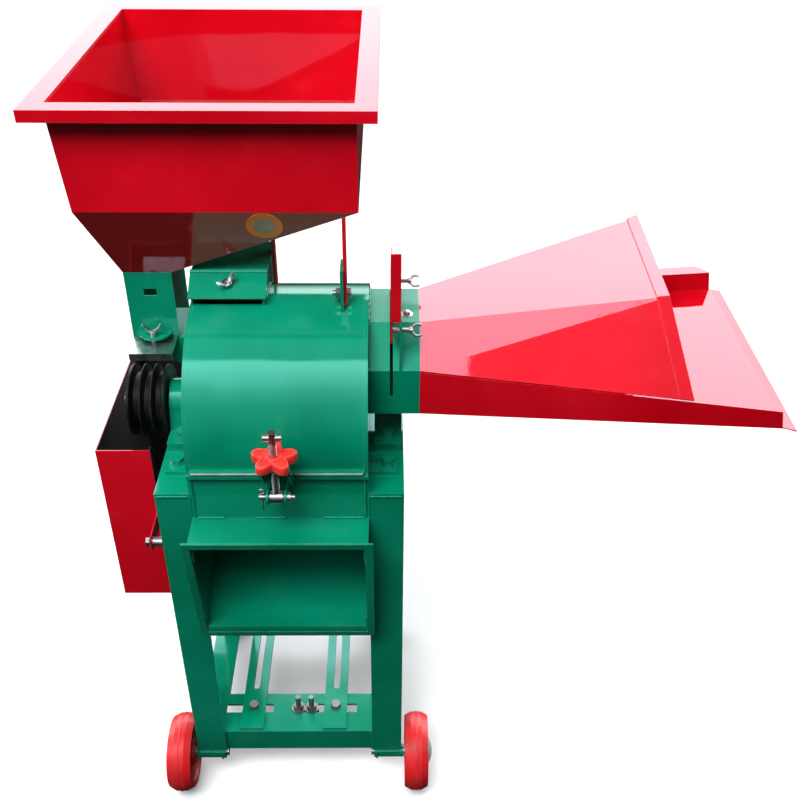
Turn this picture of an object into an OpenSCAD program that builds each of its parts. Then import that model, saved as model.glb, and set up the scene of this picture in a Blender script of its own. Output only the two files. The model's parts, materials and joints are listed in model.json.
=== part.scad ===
// Combined straw cutter and grain crusher on a wheeled angle-steel stand.
// Millimetres. X runs to the right as seen from the outlet, Y runs to the back and Z runs up.
// Every module is drawn in the stand's frame: X = 0 mid-stand, Y = 0 front of the legs, Z = 0 floor.

/* [Stand] */
// Width of the stand over its legs
stand_w = 400; // [390:1:410]
// Depth of the stand over its legs
stand_d = 400; // [396:1:420]
// Height of the top rails above the floor
rail_top = 750; // [740:1:760]
// Flange width of the leg and rail angles
leg_w = 57; // [55:1:59]
// Thickness of the angle steel
steel = 5; // [4:1:6]
// Height of the slotted cross rails above the floor
cross_rail_top = 140; // [135:1:145]
// Diameter of the wheels
wheel_d = 150; // [140:1:156]
// Width of the wheels
wheel_w = 45; // [40:1:46]

/* [Crusher body] */
// Radius of the round housing
drum_r = 200; // [198:1:202]
// Height of the shaft above the top rails
shaft_rise = 45; // [44:1:46]
// Sheet thickness of the housing
plate = 5; // [4:1:5]
// Height of the outlet's mouth above the floor, at its lower lip
mouth_low = 455; // [445:1:470]
// Reach of the mouth's upper lip in front of the legs
mouth_reach = 70; // [64:1:76]

/* [Rotor] */
// Diameter of the drive shaft in its bearings
shaft_d = 35; // [30:1:36]
// Radius of the rotor discs
disc_r = 125; // [120:1:128]
// Radius on which the hammer pins sit
pin_circle_r = 100; // [98:1:102]
// Radius swept by the hammer tips
hammer_tip_r = 165; // [160:1:168]
// Diameter of the belt pulley
pulley_d = 124; // [116:1:128]

/* [Grain side] */
// Width of the hopper over its rim
hopper_w = 500; // [490:1:510]
// Depth of the hopper over its rim
hopper_d = 570; // [560:1:580]
// Height of the hopper's rim above the floor
hopper_top = 1326; // [1315:1:1335]
// Width of the flat lip round the hopper
lip_w = 30; // [26:1:34]
// Sheet thickness of the hopper and the chute
sheet = 2.5; // [2:0.5:3]

/* [Forage side] */
// Reach of the tray beyond the collar
tray_len = 603; // [590:1:615]
// Width of the tray at its open end
tray_end_w = 462; // [450:1:470]

/* [Hidden] */
$fn = 48;

green = "#0a7a55";
red = "#c8102e";
zinc = "silver";

// Gap between pieces that turn or slide against each other.
fit = 0.05;
// Gap between two faces of the same machine that must not rub.
gap = 0.5;
half_w = stand_w / 2;
bay = half_w - leg_w;
axle_y = 8;
axle_z = wheel_d / 2;
axle_r = 8;
axle_tube_r = 12;
foot_z = axle_z + axle_tube_r;
shaft_y = drum_r;
shaft_z = rail_top + shaft_rise;
shaft_r = shaft_d / 2;
inner_r = drum_r - plate;
split = shaft_z + gap;

// The hopper hangs over the left of the stand and reaches back beyond it.
hopper_left = -340;
hopper_front = 134;
collar_x = bay + 82;
tray_right = collar_x + 3 + tray_len;
mid_x = (hopper_left + tray_right) / 2;
mouth_y = -25;
mouth_top = rail_top - 50;
mouth_rim = 8;
mouth_height = norm([mouth_reach + mouth_y, mouth_top - mouth_low]);
mouth_tilt = atan2(mouth_reach + mouth_y, mouth_top - mouth_low);
clamp_x = 3;
clamp_y = -46;
knob_r = 36.5;
lobe_r = 11;
lobe_turn = 18;
knob_front = clamp_y - (knob_r - lobe_r) * cos(2 * lobe_turn) - lobe_r;
mid_y = (hopper_front + hopper_d + knob_front) / 2;

// The part's origin is under the middle of its box, on the floor.
module placed() {
  translate([-mid_x, -mid_y, 0]) children();
}

// Mirrored copy across the stand's middle.
module both_sides() {
  children();
  mirror([1, 0, 0]) children();
}

// Cross-section of a folded or rolled angle with a rounded outer corner.
module angle_outline(width, thickness) {
  round_r = thickness / 2;
  translate([round_r, 0]) square([width - round_r, thickness]);
  translate([0, round_r]) square([thickness, width - round_r]);
  translate([round_r, round_r]) circle(round_r, $fn = 24);
}

// A shape drawn in the Y-Z plane and pulled along X from x0 to x1.
module along_x(x0, x1) {
  translate([x0, 0, 0]) rotate([90, 0, 90]) linear_extrude(x1 - x0) children();
}

// A shape drawn in the X-Z plane and pulled along Y from y0 to y1.
module along_y(y0, y1) {
  translate([0, y1, 0]) rotate([90, 0, 0]) linear_extrude(y1 - y0) children();
}

// Round bar along X.
module bar_x(x0, x1, y, z, r) {
  translate([x0, y, z]) rotate([0, 90, 0]) cylinder(r = r, h = x1 - x0);
}

// Hexagon bolt that stands upright: head on top, washer, shank and nut.
module upright_bolt(size, grip, thread) {
  head_r = size * 0.95;
  head_h = size * 0.65;
  washer_h = size * 0.2;
  translate([0, 0, washer_h]) cylinder(r = head_r, h = head_h, $fn = 6);
  cylinder(r = size, h = washer_h);
  translate([0, 0, -grip - thread]) cylinder(r = size / 2, h = grip + thread + washer_h);
  translate([0, 0, -grip - size * 0.8]) cylinder(r = head_r, h = size * 0.8, $fn = 6);
}

// Wing bolt along +Z, seated at the origin, with its two wings in the X-Z plane.
module wing_bolt(size, thread) {
  boss_r = size * 0.95;
  boss_h = size * 1.1;
  wing_r = size * 0.85;
  wing_t = size * 0.4;
  wing_out = size * 1.45;
  translate([0, 0, -thread]) cylinder(r = size / 2, h = thread + boss_h);
  cylinder(r = boss_r, h = boss_h);
  for (side = [-1, 1])
    translate([side * wing_out, wing_t / 2, boss_h + wing_r * 0.6])
      rotate([90, 0, 0])
        linear_extrude(wing_t)
          union() {
            circle(wing_r);
            polygon([[-side * wing_r * 0.3, wing_r * 0.9], [-side * wing_out, 0],
                     [-side * wing_out, -boss_h], [side * wing_r * 0.3, -wing_r * 0.9]]);
          }
}

// Angle upright: outer corner at the origin, flanges along +X and +Y.
module leg(foot) {
  translate([0, 0, foot]) linear_extrude(rail_top - steel - foot) angle_outline(leg_w, steel);
}

module left_front_leg() {
  color(green) difference() {
    translate([-half_w, 0, 0]) leg(foot_z);
    bar_x(-half_w - 1, -half_w + steel + 1, guard_bolt_front_y, guard_bolt_z, guard_bolt_r + gap);
  }
}

module right_front_leg() {
  color(green) mirror([1, 0, 0]) translate([-half_w, 0, 0]) leg(foot_z);
}

module left_rear_leg() {
  color(green) difference() {
    translate([-half_w, stand_d, 0]) mirror([0, 1, 0]) leg(0);
    bar_x(-half_w - 1, -half_w + steel + 1, guard_bolt_rear_y, guard_bolt_z, guard_bolt_r + gap);
  }
}

module right_rear_leg() {
  color(green) mirror([1, 0, 0]) translate([-half_w, stand_d, 0]) mirror([0, 1, 0]) leg(0);
}

rail_bolt_x = half_w - 26;
ledge_bolt_ys = [74, 2 * shaft_y - 74];
block_bolt_ys = [shaft_y - 62, shaft_y + 62];
rail_bolt_size = 12;

// Top rail: a flat top flange on the legs and an outer flange between them.
module top_rail() {
  difference() {
    union() {
      translate([-half_w, 0, rail_top - steel]) cube([leg_w, stand_d, steel]);
      translate([-half_w, leg_w, rail_top - leg_w]) cube([steel, stand_d - 2 * leg_w, leg_w - steel / 2]);
    }
    for (y = concat(ledge_bolt_ys, block_bolt_ys))
      translate([-rail_bolt_x, y, rail_top - 2 * steel])
        cylinder(r = rail_bolt_size / 2 + gap, h = 3 * steel);
  }
}

module left_top_rail() {
  color(green) top_rail();
}

module right_top_rail() {
  color(green) mirror([1, 0, 0]) top_rail();
}

rail_depth = 90;
slot_w = 20;
slot_y = 60;
slot_spans = [[-147, -54], [-16, 112]];

// Slotted cross rail: folded channel with two long slots for the motor rails.
module cross_rail() {
  x_end = half_w - steel;
  difference() {
    union() {
      translate([-x_end, steel, foot_z]) cube([2 * x_end, steel, cross_rail_top - foot_z]);
      translate([-x_end, steel, cross_rail_top - steel]) cube([2 * x_end, rail_depth, steel]);
    }
    for (span = slot_spans)
      translate([span[0], slot_y - slot_w / 2, cross_rail_top - 2 * steel])
        cube([span[1] - span[0], slot_w, 3 * steel]);
  }
}

module front_cross_rail() {
  color(green) cross_rail();
}

module rear_cross_rail() {
  color(green) translate([0, stand_d, 0]) mirror([0, 1, 0]) cross_rail();
}

module lower_side_rails() {
  y0 = steel + rail_depth;
  color(green) both_sides()
    translate([-half_w + steel, y0, cross_rail_top])
      mirror([0, 0, 1])
        rotate([-90, 0, 0])
          mirror([0, 1, 0])
            linear_extrude(stand_d - 2 * y0) angle_outline(50, steel);
}

wheel_gap = 7;
gusset_x = bay + 4;

// Welded tube for the stub axle, with the chamfered gusset that carries its inner end.
module axle_brackets() {
  tube_end = half_w + wheel_gap - 2;
  rail_back = 2 * steel;
  color(green) both_sides() difference() {
    union() {
      bar_x(gusset_x, tube_end, axle_y, axle_z, axle_tube_r);
      along_x(gusset_x, gusset_x + steel)
        polygon([[rail_back, foot_z + 20], [rail_back, foot_z], [-5, foot_z], [-5, axle_z - 4],
                 [2, axle_z - 14], [18, axle_z - 14], [40, foot_z - 8], [40, foot_z + 20]]);
    }
    bar_x(gusset_x - 1, tube_end + 1, axle_y, axle_z, axle_r);
  }
}

cap_r = 26;

// Stub axle: a pin through the welded tube and the wheel.
module stub_axles() {
  color(zinc) both_sides()
    bar_x(gusset_x - 6, half_w + wheel_gap + wheel_w + 4, axle_y, axle_z, axle_r);
}

// Domed cap pressed on the outer end of each stub axle.
module hub_caps() {
  cap_x = half_w + wheel_gap + wheel_w + 1;
  dome_h = 8;
  ball_r = (cap_r * cap_r + dome_h * dome_h) / (2 * dome_h);
  color(zinc) both_sides() difference() {
    intersection() {
      translate([cap_x + dome_h - ball_r, axle_y, axle_z]) sphere(ball_r, $fn = 64);
      bar_x(cap_x, cap_x + dome_h, axle_y, axle_z, cap_r);
    }
    bar_x(cap_x - 1, cap_x + 3, axle_y, axle_z, axle_r);
  }
}

// Moulded wheel: chamfered tread with a parting ridge, dished faces and a hub.
module wheel() {
  r = wheel_d / 2;
  half = wheel_w / 2;
  color(red) translate([half_w + wheel_gap + half, axle_y, axle_z]) rotate([0, 90, 0])
    rotate_extrude($fn = 72)
      polygon([[axle_r + fit, -half], [24, -half], [26, -half + 5], [r - 20, -half + 5], [r - 17, -half],
               [r - 8, -half], [r - 1.5, -half * 0.45], [r - 1, -1.5], [r, 0], [r - 1, 1.5],
               [r - 1.5, half * 0.45], [r - 8, half], [r - 17, half], [r - 20, half - 5],
               [26, half - 5], [24, half], [axle_r + fit, half]]);
}

module right_wheel() {
  wheel();
}

module left_wheel() {
  mirror([1, 0, 0]) wheel();
}

motor_rail_xs = [-92, 70];
motor_rail_w = 45;
motor_rail_t = 6;
motor_slot_w = 12;
motor_bolt = 10;
motor_bolt_ys = [slot_y, stand_d - slot_y];

// Slotted bars on which a motor or an engine is slid to tighten the belt.
module motor_rails() {
  y0 = 8;
  slot_y0 = 109;
  color(green) for (x = motor_rail_xs)
    translate([x, 0, cross_rail_top]) linear_extrude(motor_rail_t) difference() {
      translate([-motor_rail_w / 2, y0]) square([motor_rail_w, stand_d - 2 * y0]);
      for (y = motor_bolt_ys) translate([0, y]) circle(motor_bolt / 2 + gap);
      translate([-motor_slot_w / 2, slot_y0]) square([motor_slot_w, stand_d - 2 * slot_y0]);
      for (y = [slot_y0, stand_d - slot_y0]) translate([0, y]) circle(motor_slot_w / 2);
    }
}

module motor_rail_bolts() {
  grip = motor_rail_t + steel;
  color(zinc) for (x = motor_rail_xs, y = motor_bolt_ys)
    translate([x, y, cross_rail_top + motor_rail_t]) {
      upright_bolt(motor_bolt, grip + 4, 12);
      translate([0, 0, -grip - 4]) difference() {
        cylinder(r = 14, h = 4);
        translate([0, 0, -1]) cylinder(r = motor_bolt / 2 - 0.5, h = 6);
      }
    }
}

// Two motor bolts kept in the slot, each standing on its nut.
module spare_bolts() {
  color(zinc) for (x = [-4, 22]) translate([x, slot_y, cross_rail_top]) {
    translate([0, 0, -steel - 8]) cylinder(r = 14, h = 8, $fn = 6);
    translate([0, 0, -steel - 0.01]) cylinder(r = motor_bolt / 2, h = steel + 34);
    cylinder(r = 14, h = 2);
    translate([0, 0, 2]) cylinder(r = 9.5, h = 8, $fn = 6);
  }
}

// Heel of the outlet floor, where the sloping plate meets the round shell.
reach = norm([shaft_y - mouth_y, shaft_z - mouth_low]);
floor_rise = atan2(shaft_z - mouth_low, shaft_y - mouth_y) - asin(drum_r / reach);
floor_len = sqrt(reach * reach - drum_r * drum_r);
heel = [mouth_y + floor_len * cos(floor_rise), mouth_low + floor_len * sin(floor_rise)];

// Half of a disc round the shaft: the lower half, or the upper half when up is true.
module half_disc(r, up) {
  intersection() {
    translate([shaft_y, shaft_z]) circle(r, $fn = 96);
    translate([shaft_y - r - 1, up ? split : shaft_z - r - 1]) square([2 * r + 2, up ? r + 2 : r + 1]);
  }
}

module belly_outline() {
  polygon([[0, shaft_z], [0, mouth_top], [-mouth_reach, mouth_top], [mouth_y, mouth_low], heel,
           [shaft_y, shaft_z]]);
  half_disc(drum_r, false);
}

// Hollow of the lower housing: open at the split above and at the mouth in front.
module belly_hollow() {
  inward = [-sin(floor_rise), cos(floor_rise)];
  along = [cos(floor_rise), sin(floor_rise)];
  sill = [mouth_y, mouth_low] + plate * inward - 60 * along;
  polygon([[plate, shaft_z + 1], [plate, mouth_top - plate], [-mouth_reach - 30, mouth_top - plate], sill,
           heel + plate * inward, [shaft_y, shaft_z + 1]]);
  intersection() {
    translate([shaft_y, shaft_z]) circle(inner_r, $fn = 96);
    translate([0, shaft_z - drum_r]) square([2 * drum_r, drum_r + 1]);
  }
}

hinge_y = 2 * drum_r + 10;
hinge_r = 9.5;
hinge_pin_r = 5;
hinge_spans = [[-120, -80], [80, 120]];

// Leaf and knuckle of the rear hinge; side is 1 for the cover's leaf and -1 for the body's.
module hinge_part(x0, x1, side, bore) {
  difference() {
    union() {
      bar_x(x0, x1, hinge_y, shaft_z, hinge_r);
      translate([x0, hinge_y - 14, side > 0 ? split + 1.5 : shaft_z - 7.5]) cube([x1 - x0, 14, 6]);
    }
    bar_x(x0 - 1, x1 + 1, hinge_y, shaft_z, bore);
  }
}

screen_r = 178;
screen_t = 3;
ledge_drop = 16;

// Lower housing: two side plates, round shell, sloping floor, front plate and the outlet's rim.
module lower_housing() {
  side_x = bay - plate;
  color(green) difference() {
    union() {
      for (x = [-bay, side_x]) along_x(x, x + plate) belly_outline();
      along_x(-side_x - 1, side_x + 1) difference() {
        belly_outline();
        belly_hollow();
      }
      outlet_rim();
      for (y = [[plate - 1, shaft_y - screen_r - 3.5], [shaft_y + screen_r + 3.5, shaft_y + inner_r + 1]])
        translate([-side_x, y[0], shaft_z - ledge_drop - 5]) cube([2 * side_x, y[1] - y[0], 5]);
      translate([-bay, -mouth_rim, shaft_z - 8]) cube([2 * bay, mouth_rim, 6]);
      for (span = hinge_spans) hinge_part(span[0], span[1], -1, hinge_pin_r + fit);
      both_sides() housing_ledge();
    }
    bar_x(-bay - 1, bay + 1, shaft_y, shaft_z, shaft_r + 8);
  }
}

// Rim flange round the mouth of the outlet, in the tilted plane of the mouth.
module outlet_rim() {
  inset = plate - 1.2;
  translate([0, mouth_y, mouth_low]) rotate([mouth_tilt, 0, 0])
    translate([0, 3, 0]) rotate([90, 0, 0]) linear_extrude(4) difference() {
      translate([-bay - mouth_rim, -mouth_rim]) square([2 * (bay + mouth_rim), mouth_height + 2 * mouth_rim]);
      translate([-bay + inset, inset]) square([2 * (bay - inset), mouth_height - 2 * inset]);
    }
}

ledge_t = 6;

// Angle ledge that carries the housing on the stand's top rail.
module housing_ledge() {
  for (y = ledge_bolt_ys) difference() {
    union() {
      translate([bay, y - 25, rail_top]) cube([46, 50, ledge_t]);
      translate([bay, y - 3, rail_top]) cube([16, ledge_t, 24]);
    }
    translate([rail_bolt_x, y, rail_top - 1]) cylinder(r = rail_bolt_size / 2 + gap, h = ledge_t + 2);
  }
}

// Curved screen with rows of round holes, hung by its two flanges inside the lower housing.
module sieve_screen() {
  x_end = bay - plate - 2;
  row_step = 15;
  hole_r = 6;
  color("slategray") {
    difference() {
      along_x(-x_end, x_end) intersection() {
        difference() {
          translate([shaft_y, shaft_z]) circle(screen_r + screen_t, $fn = 96);
          translate([shaft_y, shaft_z]) circle(screen_r, $fn = 96);
        }
        translate([0, shaft_z - screen_r - 10]) square([2 * shaft_y, screen_r + 10 - ledge_drop]);
      }
      for (row = [1 : 11], x = [-108 : 36 : 108])
        translate([x + (row % 2) * 9 - 4.5, shaft_y, shaft_z]) rotate([row * row_step, 0, 0])
          translate([0, -screen_r - 10, 0]) rotate([-90, 0, 0]) cylinder(r = hole_r, h = 20, $fn = 24);
    }
    for (y = [plate + 1, shaft_y + screen_r - 3])
      translate([-x_end, y, shaft_z - ledge_drop]) cube([2 * x_end, shaft_y - screen_r - plate + 2, 3]);
  }
}

block_x0 = bay + 8;
block_w = 46;
block_foot = 15;
block_half = 88;
hub_r = 38;
insert_r = 31;

// Pillow block: foot, tapered web and round hub for the bearing insert.
module bearing_block() {
  color(green) difference() {
    along_x(block_x0, block_x0 + block_w) {
      translate([shaft_y - block_half, rail_top]) square([2 * block_half, block_foot]);
      translate([shaft_y, shaft_z]) circle(hub_r);
      polygon([[shaft_y - hub_r - 14, rail_top + 1], [shaft_y + hub_r + 14, rail_top + 1],
               [shaft_y + hub_r - 2, shaft_z + 8], [shaft_y - hub_r + 2, shaft_z + 8]]);
    }
    bar_x(block_x0 - 1, block_x0 + block_w + 1, shaft_y, shaft_z, insert_r);
    for (y = block_bolt_ys)
      translate([rail_bolt_x, y, rail_top - 1]) cylinder(r = rail_bolt_size / 2 + gap, h = block_foot + 2);
  }
}

module right_bearing_block() {
  bearing_block();
}

module left_bearing_block() {
  mirror([1, 0, 0]) bearing_block();
}

module bearing_inserts() {
  color(zinc) both_sides() difference() {
    bar_x(block_x0 + 4, block_x0 + block_w - 4, shaft_y, shaft_z, insert_r);
    bar_x(block_x0, block_x0 + block_w, shaft_y, shaft_z, shaft_r + fit);
  }
}

module rail_bolts() {
  color(zinc) both_sides() {
    for (y = ledge_bolt_ys)
      translate([rail_bolt_x, y, rail_top + ledge_t]) upright_bolt(rail_bolt_size, ledge_t + steel, 16);
    for (y = block_bolt_ys)
      translate([rail_bolt_x, y, rail_top + block_foot]) upright_bolt(rail_bolt_size, block_foot + steel, 16);
  }
}

guard_x = [-315, -224];
guard_y = [100, 440];
guard_z = [424, 760];
guard_bolt_z = 620;
guard_bolt_r = 5;
guard_bolt_front_y = 30;
guard_bolt_rear_y = stand_d - 30;
guard_hem = 12;

// Belt guard: outer, front and back plates, open above, below and towards the pulley.
module belt_guard() {
  width = guard_x[1] - guard_x[0];
  depth = guard_y[1] - guard_y[0];
  height = guard_z[1] - guard_z[0];
  color(red) difference() {
    union() {
      translate([guard_x[0], guard_y[0], guard_z[0]]) cube([sheet, depth, height]);
      for (y = [guard_y[0], guard_y[1] - sheet])
        translate([guard_x[0], y, guard_z[0]]) cube([width, sheet, height]);
      for (y = [guard_y[0], guard_y[1] - guard_hem])
        translate([guard_x[1] - sheet, y, guard_z[0]]) cube([sheet, guard_hem, height]);
      translate([guard_x[1] - sheet, guard_bolt_front_y - 12, guard_bolt_z - 15])
        cube([sheet, guard_y[0] - guard_bolt_front_y + 14, 30]);
      translate([guard_x[1] - sheet, guard_bolt_rear_y - 12, guard_bolt_z - 15])
        cube([sheet, guard_y[1] - guard_bolt_rear_y, 30]);
    }
    for (y = [guard_bolt_front_y, guard_bolt_rear_y])
      bar_x(guard_x[1] - 9, guard_x[1] + 1, y, guard_bolt_z, guard_bolt_r + gap);
  }
}

// Guard bolts with their distance tubes, through the outer flange of the left legs.
module guard_bolts() {
  color(zinc) for (y = [guard_bolt_front_y, guard_bolt_rear_y]) {
    bar_x(guard_x[1] - sheet - 2, -half_w + steel + 12, y, guard_bolt_z, guard_bolt_r);
    for (x = [guard_x[1] - sheet - 8, -half_w + steel + 1])
      translate([x, y, guard_bolt_z]) rotate([0, 90, 0]) cylinder(r = 9, h = 7, $fn = 6);
    for (x = [guard_x[1] - sheet - 1.5, -half_w + steel])
      bar_x(x, x + 1.5, y, guard_bolt_z, 10);
    difference() {
      bar_x(guard_x[1], -half_w, y, guard_bolt_z, 9);
      bar_x(guard_x[1] - 1, -half_w + 1, y, guard_bolt_z, guard_bolt_r + gap);
    }
  }
}

clamp_z = shaft_z - 11;
clamp_pin_r = 5;
ear_in = 12;
ear_t = 4;

module clamp_ears() {
  color(green) difference() {
    for (x = [clamp_x - ear_in - ear_t, clamp_x + ear_in]) along_x(x, x + ear_t) {
      translate([clamp_y, clamp_z]) circle(12);
      polygon([[0, clamp_z - 42], [clamp_y + 3, clamp_z - 12], [clamp_y, clamp_z + 12],
               [clamp_y + 8, clamp_z + 9], [-mouth_rim - 2, shaft_z - 9], [0, shaft_z - 9]]);
    }
    bar_x(clamp_x - 30, clamp_x + 30, clamp_y, clamp_z, clamp_pin_r + fit);
  }
}

split_pin_x = clamp_x - 22;
split_pin_r = 1.5;

module clamp_pin() {
  color(zinc) difference() {
    union() {
      bar_x(clamp_x - 27, clamp_x + 28, clamp_y, clamp_z, clamp_pin_r);
      bar_x(clamp_x + ear_in + ear_t + 1, clamp_x + ear_in + ear_t + 6, clamp_y, clamp_z, 9);
    }
    translate([split_pin_x, clamp_y, clamp_z - 10]) cylinder(r = split_pin_r + fit, h = 20);
  }
}

// Split pin: an eye above the clevis pin and one long leg below it.
module clamp_split_pin() {
  eye_r = 4;
  color(zinc) {
    translate([split_pin_x, clamp_y, clamp_z - 26]) cylinder(r = split_pin_r, h = 33);
    translate([split_pin_x, clamp_y, clamp_z + 7 + eye_r]) rotate([90, 0, 0])
      rotate_extrude($fn = 32) translate([eye_r, 0]) circle(split_pin_r, $fn = 16);
  }
}

knob_z = clamp_z + 66;
knob_h = 16;
rod_r = 6;
rod_top = clamp_z + 124;

// Eye bolt that swings on the clevis pin, with a cross bar welded on its end.
module swing_bolt() {
  color(zinc) difference() {
    union() {
      bar_x(clamp_x - 10, clamp_x + 10, clamp_y, clamp_z, 11);
      translate([clamp_x, clamp_y, clamp_z]) cylinder(r = rod_r, h = rod_top - clamp_z);
      bar_x(clamp_x - 14, clamp_x + 14, clamp_y, rod_top - 10, 5.5);
    }
    bar_x(clamp_x - 12, clamp_x + 12, clamp_y, clamp_z, clamp_pin_r + fit);
  }
}

// Five-lobed hand knob.
module star_knob() {
  color(red) translate([clamp_x, clamp_y, knob_z]) difference() {
    union() {
      linear_extrude(knob_h) {
        circle(23);
        for (i = [0 : 4]) rotate(i * 72 + lobe_turn) {
          translate([knob_r - lobe_r, 0]) circle(lobe_r);
          translate([0, -lobe_r * 0.8]) square([knob_r - lobe_r, lobe_r * 1.6]);
        }
      }
      cylinder(r = 14, h = knob_h + 5);
    }
    translate([0, 0, -1]) cylinder(r = rod_r + 0.1, h = knob_h + 8);
  }
}

// Forked bridge on the swing bolt, under the knob: a bored plate on two side prongs.
module clamp_saddle() {
  top = knob_z - 1;
  prong_in = 19;
  back = -mouth_rim - 1.5;
  color(green) difference() {
    union() {
      for (x = [clamp_x - prong_in - plate, clamp_x + prong_in]) along_x(x, x + plate)
        polygon([[clamp_y - 12, top - 1], [clamp_y - 12, top - 12], [back - 16, shaft_z - 4],
                 [back, shaft_z - 4], [back, top - 22], [back - 8, top - 1]]);
      translate([clamp_x - prong_in - plate, clamp_y - 14, top - 6])
        cube([2 * (prong_in + plate), back - 8 - clamp_y + 14, 6]);
    }
    translate([clamp_x, clamp_y, top - 10]) cylinder(r = rod_r + 0.3, h = 20);
  }
}

module cover_hinge_pin() {
  color(zinc) {
    bar_x(-126, 126, hinge_y, shaft_z, hinge_pin_r);
    bar_x(-130, -126, hinge_y, shaft_z, 8);
  }
}

disc_t = 10;
disc_step = 73;
disc_x0 = -117;
hub_bore_r = 20;
hammer_pin_r = 7;
pin_angles = [0, 120, 240];
last_face = disc_x0 + 3 * disc_step + disc_t;

// Places its children at the end of a radius, at an angle from straight up.
module on_radius(angle) {
  translate([0, shaft_y, shaft_z]) rotate([angle, 0, 0]) children();
}

pulley_x0 = -264;
shaft_end_x = -278;
shoulder_x = pulley_x0 - 2;
shaft_end_r = 15;

// Shaft: journals and pulley seat, a thicker seat for the discs and a turned-down outer end.
module drive_shaft() {
  color(zinc) {
    bar_x(shoulder_x, half_w + 4, shaft_y, shaft_z, shaft_r);
    bar_x(shaft_end_x, shoulder_x + 1, shaft_y, shaft_z, shaft_end_r);
    bar_x(disc_x0 - 8, last_face + 12, shaft_y, shaft_z, hub_bore_r);
  }
}

groove_pitch = 19;

// Three-groove belt pulley, dished on its outer face.
module drive_pulley() {
  r = pulley_d / 2;
  width = 2 * groove_pitch + 25;
  grooves = [for (i = [0 : 2]) let (c = 12.5 + i * groove_pitch)
             each [[r, c - 8.5], [r - 14, c - 3.7], [r - 14, c + 3.7], [r, c + 8.5]]];
  color("#1c1c1e") translate([pulley_x0, shaft_y, shaft_z]) rotate([0, 90, 0])
    rotate_extrude($fn = 72)
      polygon(concat([[shaft_r + fit, 0], [32, 0], [35, 12], [r - 24, 12], [r - 20, 0], [r, 0]], grooves,
                     [[r, width], [shaft_r + fit, width]]));
}

module rotor_discs() {
  color("dimgray") difference() {
    for (i = [0 : 3]) {
      x = disc_x0 + i * disc_step;
      bar_x(x, x + disc_t, shaft_y, shaft_z, disc_r);
    }
    bar_x(-bay, bay, shaft_y, shaft_z, hub_bore_r + fit);
    for (a = pin_angles) on_radius(a) bar_x(-bay, bay, 0, pin_circle_r, hammer_pin_r + fit);
  }
}

module disc_spacers() {
  color("dimgray") difference() {
    for (i = [0 : 2])
      bar_x(disc_x0 + i * disc_step + disc_t, disc_x0 + (i + 1) * disc_step, shaft_y, shaft_z, 28);
    bar_x(-bay, bay, shaft_y, shaft_z, hub_bore_r + fit);
  }
}

module hammer_pins() {
  color(zinc) for (a = pin_angles) on_radius(a) {
    bar_x(disc_x0, last_face, 0, pin_circle_r, hammer_pin_r);
    bar_x(disc_x0 - 4, disc_x0, 0, pin_circle_r, 11);
  }
}

// Three straw knives bolted to the face of the last disc, bevelled towards the feed opening.
module cutter_knives() {
  knife_t = 8;
  color("gainsboro") for (a = pin_angles) on_radius(a + 60) {
    translate([last_face, 0, 42])
      linear_extrude(disc_r + 32 - 42) polygon([[0, -20], [knife_t, -20], [knife_t, 10], [0, 20]]);
    for (z = [65, 105]) translate([last_face + knife_t, -4, z]) rotate([0, 90, 0])
      cylinder(r = 9, h = 5, $fn = 6);
  }
}

// One row of three swinging hammers, hanging straight down from the pin at the given angle.
module hammer_row(row) {
  hammer_t = 8;
  hammer_w = 40;
  hammer_len = hammer_tip_r - pin_circle_r;
  angle = pin_angles[row];
  pin_y = shaft_y - pin_circle_r * sin(angle);
  pin_z = shaft_z + pin_circle_r * cos(angle);
  color("dimgray") for (i = [0 : 2]) {
    x = disc_x0 + disc_t + i * disc_step + (disc_step - disc_t) / 2 + (row - 1) * 13 - hammer_t / 2;
    along_x(x, x + hammer_t) difference() {
      translate([pin_y, pin_z]) {
        intersection() {
          circle(hammer_w / 2);
          translate([-hammer_w, 0]) square([2 * hammer_w, hammer_w]);
        }
        translate([-hammer_w / 2, -hammer_len]) square([hammer_w, hammer_len]);
      }
      translate([pin_y, pin_z]) circle(hammer_pin_r + 0.3);
    }
  }
}

module hammer_row_1() {
  hammer_row(0);
}

module hammer_row_2() {
  hammer_row(1);
}

module hammer_row_3() {
  hammer_row(2);
}

box_x = [-140, -24];
box_y = [178, 326];
box_bend = [216, shaft_z + 238];
box_front_z = shaft_z + 213;
cover_sheet = 4;

// Opening of the discharge box through the cover and its liner.
module discharge_opening() {
  translate([box_x[0] + 5, box_y[0] + 4, shaft_z + 100])
    cube([box_x[1] - box_x[0] - 10, box_y[1] - box_y[0] - 8, drum_r]);
}

// Upper half of the drum with its front flange, hinge knuckles and the lug for the hopper's strap.
module cover_shell() {
  side_x = bay - plate - 1;
  color(green) difference() {
    union() {
      along_x(-side_x, side_x) difference() {
        half_disc(drum_r, true);
        translate([shaft_y, shaft_z]) circle(drum_r - cover_sheet, $fn = 96);
      }
      translate([-side_x, -8, split]) cube([2 * side_x, 9, 5]);
      for (x = [-78, 40]) hinge_part(x, x + 38, 1, hinge_pin_r + 2 * fit);
      along_x(strap_x - 5, strap_x) difference() {
        translate([strap_y - 22, shaft_z + 150]) square([44, 118]);
        translate([shaft_y, shaft_z]) circle(drum_r - 1, $fn = 96);
      }
    }
    discharge_opening();
    bar_x(strap_x - 10, strap_x + 10, strap_y, strap_bolt_z, 5 + gap);
  }
}

// End plate of the cover, flush with the drum.
module cover_plate() {
  translate([-bay, 0, 0]) difference() {
    along_x(0, plate + 1) half_disc(drum_r, true);
    bar_x(-1, plate + 2, shaft_y, shaft_z, shaft_r + 8);
  }
}

spout_x = [-255, -177];
spout_y = [225, 325];
throat_z = [shaft_z + 41, shaft_z + 110];

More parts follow.
